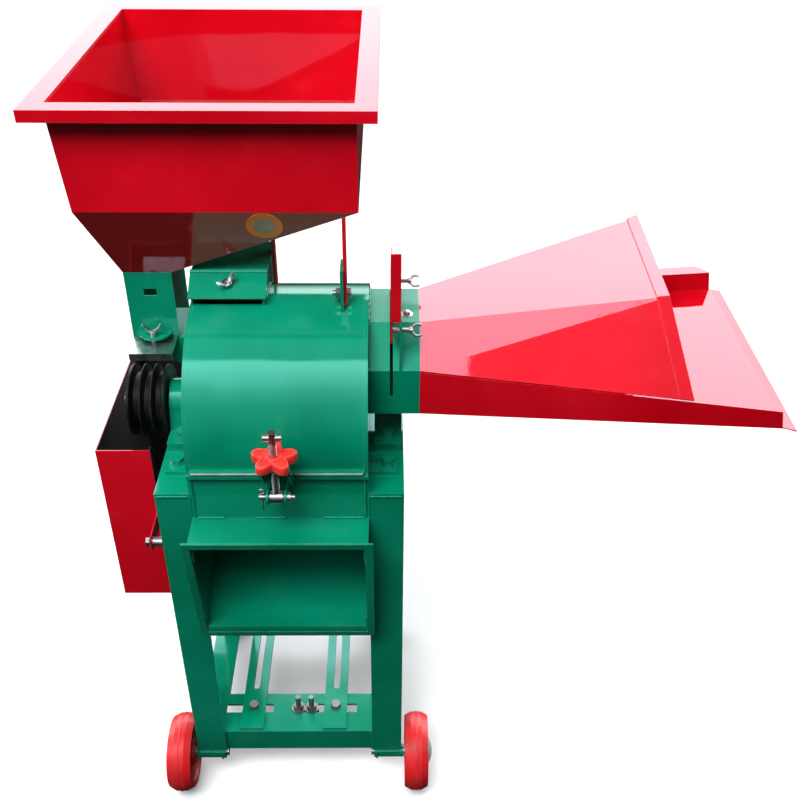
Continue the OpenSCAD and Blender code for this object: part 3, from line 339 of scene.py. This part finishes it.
green_paint = green_enamel("green_enamel")
collar_paint = green_enamel("collar_enamel", DULL_GREEN_GLOSS, shine=0.35)
red_paint = red_enamel("red_enamel")
guard_paint_with_shade = red_enamel("guard_enamel_painted_shade", GUARD_SHADE_PATCHES)
hopper_paint_with_shade = red_enamel("hopper_enamel_painted_shade", HOPPER_SHADE_AND_LAP_PATCHES, wave=0.6)
wheel_red = moulded("wheel_plastic", light=(0.72, 0.018, 0.022), dark=(0.56, 0.010, 0.014),
                    scuffed=(0.22, 0.07, 0.045), scuffs=0.70, gloss=(0.30, 0.60), low_dirt=True)
knob_red = moulded("knob_plastic", light=(0.90, 0.045, 0.035), dark=(0.80, 0.028, 0.022),
                   scuffed=(0.90, 0.34, 0.28), scuffs=0.25, gloss=(0.20, 0.42))
zinc = plated("zinc_plating", (0.80, 0.80, 0.78), (0.50, 0.50, 0.50), gloss=(0.26, 0.36), rust=0.50)
dull_zinc = plated("dull_zinc", (0.30, 0.30, 0.29), (0.16, 0.16, 0.155), gloss=(0.35, 0.40), rust=0.60)
bare = plated("bare_steel", (0.15, 0.145, 0.14), (0.08, 0.078, 0.076), gloss=(0.30, 0.55), rust=0.40)
cap_grey = moulded("hub_cap_grey", light=(0.55, 0.58, 0.56), dark=(0.42, 0.45, 0.43),
                   scuffed=(0.26, 0.25, 0.22), scuffs=0.45, gloss=(0.25, 0.45))
galvanised = spangled("galvanised_sheet")
black_iron = cast_black("black_iron")

finish_of = {
    "green_paint": green_paint,
    "red_paint": red_paint,
    "red_moulding": wheel_red,
    "zinc_plate": zinc,
    "galvanised_sheet": galvanised,
    "bare_steel": bare,
    "black_iron": black_iron,
}

own_paint = {
    "belt_guard": guard_paint_with_shade,
    "hopper": hopper_paint_with_shade,
    "rail_bolts": green_paint,
    "spare_bolts": dull_zinc,
    "motor_rail_bolts": dull_zinc,
    "star_knob": knob_red,
    "feed_collar": collar_paint,
    "hub_caps": cap_grey,
}

for part in frame["record"]["subparts"]:
    obj = nodes[part["node"]]
    obj.data.materials.clear()
    material = finish_of[part["material_slot"]]
    obj.data.materials.append(own_paint.get(part["node"], material))


# Edges sharper than this many degrees are rounded
ROUND_FROM = 35.0


def bevel(obj, width, segments=2):
    step = obj.modifiers.new("rounded_edges", "BEVEL")
    step.width = mm(width)
    step.segments = segments
    step.limit_method = "ANGLE"
    step.angle_limit = math.radians(ROUND_FROM)
    step.harden_normals = False
    step.use_clamp_overlap = True


# The width of the rounding in millimetres, and the pieces that have it
ROUNDED = {
    0.5: ("grain_gate",),
    0.6: ("feed_gate", "hub_caps"),
    0.7: ("feed_hood", "feed_tray", "belt_guard"),
    0.8: ("left_wheel", "right_wheel", "cover_shell", "feed_collar", "discharge_box", "discharge_lid",
          "grain_spout", "clamp_saddle", "clamp_ears", "motor_rails", "axle_brackets"),
    0.9: ("hopper", "lower_housing"),
    1.0: ("left_cover_plate", "right_cover_plate", "left_front_leg", "right_front_leg", "left_rear_leg",
          "right_rear_leg", "left_top_rail", "right_top_rail", "front_cross_rail", "rear_cross_rail",
          "lower_side_rails"),
}
for width, names in ROUNDED.items():
    for name in names:
        bevel(nodes[name], width)
for name in ("left_bearing_block", "right_bearing_block"):
    bevel(nodes[name], 2.0, segments=3)


def new_piece(name, mesh, material, body):
    """Piece of the scene that moves with a body."""
    obj = bpy.data.objects.new(name, mesh)
    bpy.context.scene.collection.objects.link(obj)
    obj.data.materials.append(material)
    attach(obj, body)
    return obj


def round_angles(sides, turn=0.0):
    """Angles of a ring's corners; turn shifts them by a share of one side."""
    return [2 * math.pi * (corner + turn) / sides for corner in range(sides)]


def loft(shape, rings, closed=False):
    """Joins rings of equal length into a skin; closed joins the last ring to the first."""
    made = [[shape.verts.new(point) for point in ring] for ring in rings]
    count = len(made[0])
    pairs = list(zip(made, made[1:]))
    if closed:
        pairs.append((made[-1], made[0]))
    for lower, upper in pairs:
        for corner in range(count):
            after = (corner + 1) % count
            shape.faces.new((lower[corner], lower[after], upper[after], upper[corner]))
    if not closed:
        shape.faces.new(list(reversed(made[0])))
        shape.faces.new(made[-1])


def finish_mesh(shape, name, angle=45.0):
    """Mesh of the shape, smooth apart from the edges sharper than the angle."""
    bmesh.ops.recalc_face_normals(shape, faces=shape.faces)
    mesh = bpy.data.meshes.new(name)
    shape.to_mesh(mesh)
    shape.free()
    for face in mesh.polygons:
        face.use_smooth = True
    mesh.set_sharp_from_angle(angle=math.radians(angle))
    return mesh


def bead(shape, points, width, ripple):
    """Weld bead: a half-buried rope along the points, thicker and thinner with each pool of weld."""
    sides = 8
    steps_per_pool = 3
    end_size = 0.45
    end_growth = 0.25
    slanted = Vector((0.31, 0.52, 0.79))
    lengths = [(after - before).length for before, after in zip(points, points[1:])]
    total = sum(lengths)
    steps = max(steps_per_pool, int(total / mm(ripple)) * steps_per_pool)
    rings = []
    for step in range(steps + 1):
        left = total * step / steps
        leg = 0
        while leg < len(lengths) - 1 and left > lengths[leg]:
            left -= lengths[leg]
            leg += 1
        along = (points[leg + 1] - points[leg]).normalized()
        centre = points[leg] + along * min(left, lengths[leg])
        side = along.cross(slanted).normalized()
        up = side.cross(along)
        from_end = min(step, steps - step)
        pool = 0.82 + 0.18 * math.sin(step * 2 * math.pi / steps_per_pool) + 0.10 * math.sin(step * 1.7)
        radius = mm(width) / 2 * pool * min(1.0, end_size + from_end * end_growth)
        ring = []
        for angle in round_angles(sides):
            ring.append(centre + radius * (math.cos(angle) * side + math.sin(angle) * up))
        rings.append(ring)
    loft(shape, rings)


def beads(name, routes, body, width, ripple):
    """One piece with a bead along each route."""
    shape = bmesh.new()
    for route in routes:
        bead(shape, [at(*point) for point in route], width, ripple)
    new_piece(name, finish_mesh(shape, name, 80.0), green_paint, body)


def stand_welds():
    """Beads at the corners of the top rails, the cross rails, the side rails, the axles and the ledges."""
    sunk = 0.2
    corner_z = RAIL_TOP - STEEL - 0.3
    tube_outer = 196
    tube_inner = 152
    tube_y = -3.5
    gusset_x = 152.5
    gusset_y = -3.8
    gusset_low = 66
    ledge_x = BAY + 1
    ledge_z = RAIL_TOP + 0.5
    ledge_len = 50
    ledge_fronts = (49, 299)
    routes = []
    for side in (-1, 1):
        inner = side * BAY
        outer = side * HALF_W
        flange_x = outer - side * (STEEL + sunk)
        for y in (sunk, STAND_D - sunk):
            routes.append([(outer - side * 2, y, corner_z), (inner + side * 2, y, corner_z)])
        routes.append([(inner, STEEL + sunk, FOOT_Z + 3), (inner, STEEL + sunk, CROSS_RAIL_TOP - 1)])
        for y in (STEEL, STAND_D - STEEL):
            routes.append([(flange_x, y, CROSS_RAIL_TOP - 2), (flange_x, y, CROSS_RAIL_TOP - 40)])
        routes.append([(side * x, tube_y, FOOT_Z - 0.5) for x in (tube_outer, tube_inner)])
        routes.append([(side * gusset_x, gusset_y, z) for z in (gusset_low, FOOT_Z)])
        for y in ledge_fronts:
            routes.append([(side * ledge_x, y, ledge_z), (side * ledge_x, y + ledge_len, ledge_z)])
    beads("stand_welds", routes, "frame", width=5.0, ripple=4.0)


def on_mouth(x, up, out):
    """Point in the tilted plane of the outlet's mouth."""
    return (
        x,
        MOUTH_Y - up * math.sin(MOUTH_TILT) - out * math.cos(MOUTH_TILT),
        MOUTH_LOW + up * math.cos(MOUTH_TILT) - out * math.sin(MOUTH_TILT),
    )


def housing_welds():
    """Beads in the corners of the outlet's mouth, up the sides of the front plate and along its foot."""
    corner_x = 137.5
    corner_in = -7
    lip_x = 133
    lip_in = -9
    low = 4.2
    high = MOUTH_HEIGHT - 4.2
    plate_top = SHAFT_Z - 9
    routes = []
    for side in (-1, 1):
        for start, end in ((low + 1, 40), (high - 1, high - 45)):
            routes.append([on_mouth(side * corner_x, up, corner_in) for up in (start, end)])
        for inner_x, up in ((100, low + 3), (104, high - 3)):
            routes.append([on_mouth(side * x, up, lip_in) for x in (lip_x, inner_x)])
        routes.append([(side * (BAY - STEEL), -0.5, z) for z in (MOUTH_TOP + 2, plate_top)])
        routes.append([(side * (BAY + 0.4), 1, z) for z in (MOUTH_TOP + 4, RAIL_TOP - 4)])
    for start, end in ((-136, -88), (-40, 10), (70, 136)):
        routes.append([(x, -1.0, MOUTH_TOP + 1.5) for x in (start, end)])
    beads("housing_welds", routes, "frame", width=5.5, ripple=4.5)


def on_drum(x, y):
    """Point just above the drum's skin."""
    return (x, y, SHAFT_Z + math.sqrt(DRUM_R ** 2 - (y - SHAFT_Y) ** 2) + 1)


def cover_welds():
    """Beads of the strap's lug, the discharge box and the feed collar."""
    lug_x = (98.5, 104.5)
    lug_sides = (163, 203)
    box_sides = (-141, -23)
    box_y = (200, 225, 250, 275, 300, 324)
    collar_x = BAY + 1
    collar_low = 842
    collar_top = 972.3
    collar_runs = (
        ((101, collar_low), (101, 912)),
        ((274, collar_low), (274, 966)),
        ((166, collar_top), (270, collar_top)),
        ((106, 923.2), (160, 969.5)),
    )
    routes = []
    for y in lug_sides:
        routes.append([on_drum(x, y) for x in lug_x])
    for x in box_sides:
        routes.append([on_drum(x, y) for y in box_y])
    for run in collar_runs:
        routes.append([(collar_x, y, z) for y, z in run])
    beads("cover_welds", routes, "cover", width=4.5, ripple=4.0)


class Place:
    """Local axes of a small part: origin in the stand's millimetres, axis and direction of its width."""

    def __init__(self, origin, axis=UPRIGHT, across=RIGHTWARD):
        self.origin = at(*origin)
        self.up = Vector(axis).normalized()
        self.across = (Vector(across) - Vector(across).dot(self.up) * self.up).normalized()
        self.deep = self.up.cross(self.across)

    def point(self, x, y, z):
        return self.origin + (x * self.across + y * self.deep + z * self.up) / 1000

    def round_point(self, radius, angle, height):
        return self.point(radius * math.cos(angle), radius * math.sin(angle), height)


def turned(shape, place, profile, sides=24):
    """Turned solid from (radius, height) pairs."""
    rings = []
    for radius, height in profile:
        rings.append([place.round_point(radius, angle, height) for angle in round_angles(sides)])
    loft(shape, rings)


def thread(shape, place, radius, low, high, pitch=1.25, depth=0.45, sides=20):
    """Helical V-thread on a rod."""
    rise = pitch / 4
    rings = []
    for step in range(int((high - low) / rise) + 1):
        height = low + step * rise
        ring = []
        for corner, angle in enumerate(round_angles(sides)):
            phase = (height / pitch - corner / sides) % 1.0
            ring.append(place.round_point(radius - depth * abs(2 * phase - 1), angle, height))
        rings.append(ring)
    loft(shape, rings)


def squared(share):
    """Pushes a sine or cosine outwards, so that a round outline becomes a flat bar's."""
    roundness = 0.55
    return math.copysign(abs(share) ** roundness, share)


def flat_bar(shape, place, path, widths, thickness):
    """Bent flat bar in the place's across-up plane: points (x, z), with a width for each."""
    sides = 16
    rings = []
    for index, (x, z) in enumerate(path):
        before = path[max(index - 1, 0)]
        after = path[min(index + 1, len(path) - 1)]
        run = after[0] - before[0]
        rise = after[1] - before[1]
        length = math.hypot(run, rise)
        ring = []
        for angle in round_angles(sides, 0.5):
            flat = squared(math.cos(angle)) * widths[index] / 2
            thick = squared(math.sin(angle)) * thickness / 2
            ring.append(place.point(x - rise / length * thick, flat, z + run / length * thick))
        rings.append(ring)
    loft(shape, rings)


def curve_through(points, steps=5):
    """Smooth path through the points, one cubic stretch between each two."""
    last = len(points) - 1
    path = []
    for index in range(last):
        nearby = [points[min(max(index + shift, 0), last)] for shift in (-1, 0, 1, 2)]
        for step in range(steps):
            t = step / steps
            point = []
            for a, b, c, d in zip(*nearby):
                bend = (2 * a - 5 * b + 4 * c - d) * t * t + (3 * b - a - 3 * c + d) * t ** 3
                point.append(0.5 * (2 * b + (c - a) * t + bend))
            path.append(tuple(point))
    path.append(points[-1])
    return path


def raised_arms(shape, place):
    """Two raised arms of bent flat steel on a round boss."""
    boss = ((3.9, 4.6), (7.2, 5.0), (7.8, 6.2), (7.8, 7.6), (7.0, 8.4), (3.0, 8.8))
    arm = ((1.5, 9.0), (6.0, 9.6), (10.0, 13.2), (15.4, 19.8))
    end_width = 7.4
    swelling = 1.2
    turned(shape, place, boss)
    for side in (-1, 1):
        path = curve_through([(side * x, z) for x, z in arm])
        last = len(path) - 1
        widths = [end_width + swelling * math.sin(math.pi * step / last) for step in range(last + 1)]
        flat_bar(shape, place, path, widths, thickness=3.0)


def open_ring(shape, place):
    """Horseshoe of bent flat steel on a round boss, open at the top."""
    boss = ((3.9, 3.0), (5.4, 3.4), (5.8, 4.4), (5.6, 7.6), (4.2, 8.6))
    ring_r = 9.2
    ring_z = 15.6
    half_gap = 52
    steps = 24
    end_width = 4.2
    swelling = 1.6
    turned(shape, place, boss)
    path = []
    widths = []
    for step in range(steps + 1):
        angle = math.radians(half_gap + (360 - 2 * half_gap) * step / steps)
        path.append((ring_r * math.sin(angle), ring_z + ring_r * math.cos(angle)))
        widths.append(end_width + swelling * math.sin(math.pi * step / steps))
    flat_bar(shape, place, path, widths, thickness=4.2)


def wing_bolt(name, body, place, shank, wings):
    """Threaded shank with its wings, in place of the body's plain bolt."""
    rod_r = 4.0
    rod_top = 6.0
    shape = bmesh.new()
    thread(shape, place, rod_r, -shank, rod_top)
    wings(shape, place)
    piece = new_piece(name, finish_mesh(shape, name), zinc, body)
    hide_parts(body)


def wing_bolts():
    """Bolts with raised arms on the spout and the lid, with open rings on the feed gate and the collar."""
    lid_rise = math.atan2(25.0, 44.0)
    lid_normal = (0.0, -math.sin(lid_rise), math.cos(lid_rise))
    collar_face = 204.5
    spout = Place((-216, 206, 923), UPRIGHT, (1, 0.15, 0))
    lid = Place((-82, 192.518, 1023.108), lid_normal, (0.8, 0.6, 0.3))
    gate = Place((collar_face, 112, 988), RIGHTWARD, (0, 0.42, 0.9))
    collar = Place((collar_face, 254, 998), RIGHTWARD, (0, 0.75, 0.66))
    wing_bolt("spout_bolt", "spout_wing_bolt", spout, 14, raised_arms)
    wing_bolt("lid_bolt", "lid_wing_bolt", lid, 9, raised_arms)
    wing_bolt("gate_bolt", "gate_wing_bolt", gate, 23, open_ring)
    wing_bolt("collar_bolt", "collar_wing_bolt", collar, 23, open_ring)


def star_radius(angle, inset):
    """Outline of the five-lobed knob, one lobe to the back."""
    lobes = 5
    waist_r = 20.5
    lobe_reach = 15.8
    fullness = 0.72
    swell = (0.5 + 0.5 * math.cos(lobes * (angle - math.pi / 2))) ** fullness
    return waist_r + lobe_reach * swell - inset


def star_knob():
    """Bored knob: its skin runs out over the lobes and back over a raised rim, a hollow and a round boss."""
    underside = ((6.3, 0.3), (11.0, 0.0))
    lobes = (
        (3.0, 0.0), (0.9, 0.5), (0.0, 2.2), (0.0, 12.6), (0.5, 14.6), (1.6, 15.7), (3.0, 16.0), (4.8, 15.8),
        (6.0, 14.6), (6.8, 12.4),
    )
    boss = ((13.0, 12.0), (12.0, 13.6), (11.0, 15.0), (9.0, 15.4), (6.6, 15.2), (6.3, 14.4))
    angles = round_angles(120)
    place = Place((CLAMP_X, CLAMP_Y, KNOB_LOW))
    rings = []
    for radius, height in underside:
        rings.append([place.round_point(radius, angle, height) for angle in angles])
    for inset, height in lobes:
        rings.append([place.round_point(star_radius(angle, inset), angle, height) for angle in angles])
    for radius, height in boss:
        rings.append([place.round_point(radius, angle, height) for angle in angles])
    shape = bmesh.new()
    loft(shape, rings, closed=True)
    piece = new_piece("knob", finish_mesh(shape, "knob", 50.0), knob_red, "star_knob")
    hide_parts("star_knob")


def rod_threads():
    """Threads of the swing bolt, below and above the knob."""
    rod_r = 6.5
    place = Place((CLAMP_X, CLAMP_Y, 0))
    shape = bmesh.new()
    for low, high in ((800, 836), (867, 889)):
        thread(shape, place, rod_r, low, high, pitch=1.75, depth=0.5, sides=24)
    new_piece("rod_threads", finish_mesh(shape, "rod_threads", 30.0), zinc, "swing_bolt")


def soft_box(shape, low, high, soften):
    """Box between two corners in the stand's millimetres, with softened edges."""
    result = bmesh.ops.create_cube(shape, size=1.0)
    for vert in result["verts"]:
        corner = [low[axis] if vert.co[axis] < 0 else high[axis] for axis in range(3)]
        vert.co = at(*corner)
    edges = list({edge for vert in result["verts"] for edge in vert.link_edges})
    bmesh.ops.bevel(shape, geom=edges, offset=mm(soften), segments=2, affect="EDGES", profile=0.6)


def seal_strip():
    """Pale sealing strip along the front edge of the cover, in two lengths either side of the clamp."""
    front = -9.2
    back = -7.6
    low = 796.4
    high = 799.2
    shape = bmesh.new()
    for left, right in ((-135, -22), (28, 135)):
        soft_box(shape, (left, front, low), (right, back, high), soften=0.5)
    pale = moulded("seal_strip", light=(0.40, 0.46, 0.42), dark=(0.30, 0.36, 0.32),
                   scuffed=(0.20, 0.22, 0.19), scuffs=0.35, gloss=(0.30, 0.55))
    new_piece("seal_strip", finish_mesh(shape, "seal_strip"), pale, "cover")


def plain_sticker():
    """Plain round sticker on the hopper's funnel: an orange ring round a duller middle."""
    funnel_rise = 0.447
    sticker_r = 28.0
    ring_inner_r = 19.5
    middle_r = 17.5
    top = 0.36
    profile = ((sticker_r, -0.1), (sticker_r, top - 0.01), (ring_inner_r, top), (middle_r, top))
    place = Place((-14, 178.05, 1132.5), (0, -1, -funnel_rise), RIGHTWARD)
    shape = bmesh.new()
    turned(shape, place, profile, 48)
    orange = moulded("sticker_orange", light=(0.80, 0.20, 0.02), dark=(0.66, 0.13, 0.012),
                     scuffed=(0.50, 0.24, 0.12), scuffs=0.25, gloss=(0.25, 0.45))
    dull = moulded("sticker_middle", light=(0.34, 0.27, 0.20), dark=(0.24, 0.19, 0.14),
                   scuffed=(0.46, 0.36, 0.26), scuffs=0.55, gloss=(0.30, 0.50))
    sticker = new_piece("plain_sticker", finish_mesh(shape, "plain_sticker"), orange, "cover")
    sticker.data.materials.append(dull)
    # Only the round middle and the hidden back have more than four corners
    for face in sticker.data.polygons:
        if len(face.vertices) > 4:
            face.material_index = 1


def collar_cap_screw():
    """Cap screw with a domed washer on the feed collar."""
    profile = ((9.5, 0.0), (9.5, 1.6), (7.0, 2.2), (6.4, 4.6), (5.2, 6.4), (3.2, 7.3), (1.0, 7.6))
    shape = bmesh.new()
    turned(shape, Place((205, 190, 970.5)), profile)
    new_piece("collar_cap_screw", finish_mesh(shape, "collar_cap_screw"), zinc, "cover")


def outlet_lip_edge():
    """Turned-up front edge of the outlet's floor, from the floor's skin up to a rounded crest."""
    floor_top = 5.6
    floor_climb = math.sin(math.radians(17))
    floor_run = 0.956
    section = (
        (40, -1.5), (34, 0.3), (27, 1.5), (20, 4.0), (13, 7.8), (6, 11.7), (0.5, 14.6), (0, 13.4), (0, -1.5),
    )
    rings = []
    for x in (-136.5, -45, 45, 136.5):
        ring = []
        for inward, rise in section:
            ring.append(at(*on_mouth(x, floor_top + inward * floor_climb + rise, -inward * floor_run)))
        rings.append(ring)
    shape = bmesh.new()
    loft(shape, rings)
    new_piece("outlet_lip_edge", finish_mesh(shape, "outlet_lip_edge", 60.0), green_paint, "frame")


stand_welds()
housing_welds()
cover_welds()
wing_bolts()
star_knob()
rod_threads()
seal_strip()
plain_sticker()
collar_cap_screw()
outlet_lip_edge()

# Studio, with the sizes of the floor and the wall in metres
FLOOR_HALF = 9.0
WALL_R = 9.0
WALL_H = 9.0


def camera_only(name, mesh, material):
    """Part of the studio that the camera sees and that throws no light or shadow on the machine."""
    obj = bpy.data.objects.new(name, mesh)
    bpy.context.scene.collection.objects.link(obj)
    obj.data.materials.append(material)
    for kind in ("visible_glossy", "visible_diffuse", "visible_shadow", "visible_transmission"):
        setattr(obj, kind, False)
    return obj


def pale_floor():
    """Pale paper under the machine, which shows its shadow."""
    mesh = bpy.data.meshes.new("floor")
    corners = [(x * FLOOR_HALF, y * FLOOR_HALF, 0) for x, y in ((-1, -1), (1, -1), (1, 1), (-1, 1))]
    mesh.from_pydata(corners, [], [(0, 1, 2, 3)])
    paper = Paint("pale_floor")
    tone = paper.ramp(paper.noise(1.3, 2.0), 0.3, 0.7)
    shade = paper.mix(tone, (0.84, 0.84, 0.84), (0.88, 0.88, 0.88))
    material = paper.finish({"Base Color": shade, "Roughness": 0.9, "Specular IOR Level": 0.1})
    floor = camera_only("floor", mesh, material)


def pale_wall():
    """Round wall with a lid over the floor, for views from low down."""
    shape = bmesh.new()
    posts = []
    for angle in round_angles(64):
        x = WALL_R * math.cos(angle)
        y = WALL_R * math.sin(angle)
        posts.append([shape.verts.new((x, y, z)) for z in (0.0, WALL_H)])
    for here, after in zip(posts, posts[1:] + posts[:1]):
        shape.faces.new((here[0], after[0], after[1], here[1]))
    shape.faces.new([post[1] for post in posts])
    wash = Paint("pale_wall")
    tone = wash.ramp(wash.noise(0.4, 2.0), 0.3, 0.7)
    shade = wash.mix(tone, (0.90, 0.90, 0.90), (0.96, 0.96, 0.96))
    material = wash.finish({
        "Emission Color": shade, "Emission Strength": 1.0,
        "Base Color": (0.0, 0.0, 0.0, 1.0), "Specular IOR Level": 0.0,
    })
    backdrop = camera_only("backdrop", finish_mesh(shape, "backdrop", 80.0), material)


# Sky strengths round the X axis: 0 is straight in front, 0.25 straight down, 0.5 behind, 0.75 overhead
SKY = ((0.00, 0.05), (0.02, 0.02), (0.25, 0.02), (0.48, 0.03), (0.50, 0.9), (0.53, 3.0), (0.56, 3.3),
       (0.578, 4.7), (0.636, 5.0), (0.642, 0.45), (0.800, 0.50), (0.806, 4.2), (0.85, 2.6), (0.88, 1.3),
       (0.92, 0.45), (1.00, 0.05))
SKY_TOP = 5.0
SKY_TINT = (0.96, 0.98, 1.0, 1.0)

# A dark panel high in front, on the right, keeps the feed hood's slope a deep red
PANEL_LEFT_EDGE = (0.104, 0.112)
PANEL_TOP_EDGE = (1.165, 1.180)
PANEL_SLANT = 2.6
PANEL_DARKNESS = 0.92


def sky():
    """Bands of bright and dark sky round the machine, less the dark panel."""
    world = bpy.data.worlds.new("studio")
    world.use_nodes = True
    graph = Graph(world.node_tree, "Generated")
    toward = graph.add("ShaderNodeSeparateXYZ", {"Vector": graph.place}).outputs
    turn = graph.calculate("ARCTAN2", toward["Z"], toward["Y"])
    bands = graph.add("ShaderNodeValToRGB", {"Fac": graph.ramp(turn, -math.pi, math.pi)})
    while len(bands.color_ramp.elements) < len(SKY):
        bands.color_ramp.elements.new(0.5)
    for stop, (position, value) in zip(bands.color_ramp.elements, SKY):
        stop.position = position
        stop.color = (value / SKY_TOP, value / SKY_TOP, value / SKY_TOP, 1.0)
    slant = graph.calculate("SUBTRACT", toward["X"], graph.calculate("MULTIPLY", toward["Y"], PANEL_SLANT))
    panel = graph.calculate(
        "MULTIPLY",
        graph.ramp(toward["X"], *PANEL_LEFT_EDGE, interpolation_type="SMOOTHSTEP"),
        graph.ramp(slant, *PANEL_TOP_EDGE, interpolation_type="SMOOTHSTEP"),
    )
    open_sky = graph.calculate("SUBTRACT", 1.0, graph.calculate("MULTIPLY", panel, PANEL_DARKNESS))
    brightness = graph.calculate("MULTIPLY", bands.outputs["Color"], SKY_TOP)
    strength = graph.calculate("MULTIPLY", brightness, open_sky)
    graph.feed(world.node_tree.nodes["Background"], {"Strength": strength, "Color": SKY_TINT})
    bpy.context.scene.world = world


def soft_light(name, place, target, size, power):
    """Lamp in metres and watts that lights the paint and isn't mirrored in it."""
    lamp = bpy.data.lights.new(name, "AREA")
    lamp.shape = "RECTANGLE"
    lamp.size, lamp.size_y = size
    lamp.energy = power
    obj = bpy.data.objects.new(name, lamp)
    obj.location = place
    obj.rotation_euler = (Vector(target) - Vector(place)).to_track_quat("-Z", "Y").to_euler()
    obj.visible_glossy = False
    bpy.context.scene.collection.objects.link(obj)


# The camera's place in the stand's millimetres, its lens and sensor, and its turns in degrees
CAMERA_PLACE = (174.7, -1225.0, 1798.5)
CAMERA_LENS = 45.2
CAMERA_SENSOR = 36.0
CAMERA_YAW = 0.81
CAMERA_PITCH = 35.2
CAMERA_ROLL = 0.47


def photo_camera():
    """Pinhole camera fitted to the corners of the machine: yaw to the right, pitch downwards, then roll."""
    data = bpy.data.cameras.new("photo_view")
    data.sensor_width = CAMERA_SENSOR
    data.lens = CAMERA_LENS
    camera = bpy.data.objects.new("photo_view", data)
    camera.location = at(*CAMERA_PLACE)
    yaw, pitch, roll = (math.radians(angle) for angle in (CAMERA_YAW, CAMERA_PITCH, CAMERA_ROLL))
    forward = Vector((math.sin(yaw) * math.cos(pitch), math.cos(yaw) * math.cos(pitch), -math.sin(pitch)))
    right = Vector((math.cos(yaw), -math.sin(yaw), 0.0))
    up = right.cross(forward)
    right_rolled = math.cos(roll) * right + math.sin(roll) * up
    up_rolled = -math.sin(roll) * right + math.cos(roll) * up
    camera.rotation_euler = Matrix((right_rolled, up_rolled, -forward)).transposed().to_euler()
    bpy.context.scene.collection.objects.link(camera)
    bpy.context.scene.camera = camera
    bpy.context.scene.view_settings.view_transform = "Standard"


pale_floor()
pale_wall()
sky()
soft_light("top_light", place=(-0.1, -0.2, 3.4), target=(-0.1, 0.0, 0.8), size=(2.2, 2.0), power=30.0)
soft_light("key_light", place=(-0.9, -1.8, 3.5), target=(0.0, 0.0, 0.75), size=(1.6, 1.2), power=92.0)
photo_camera()
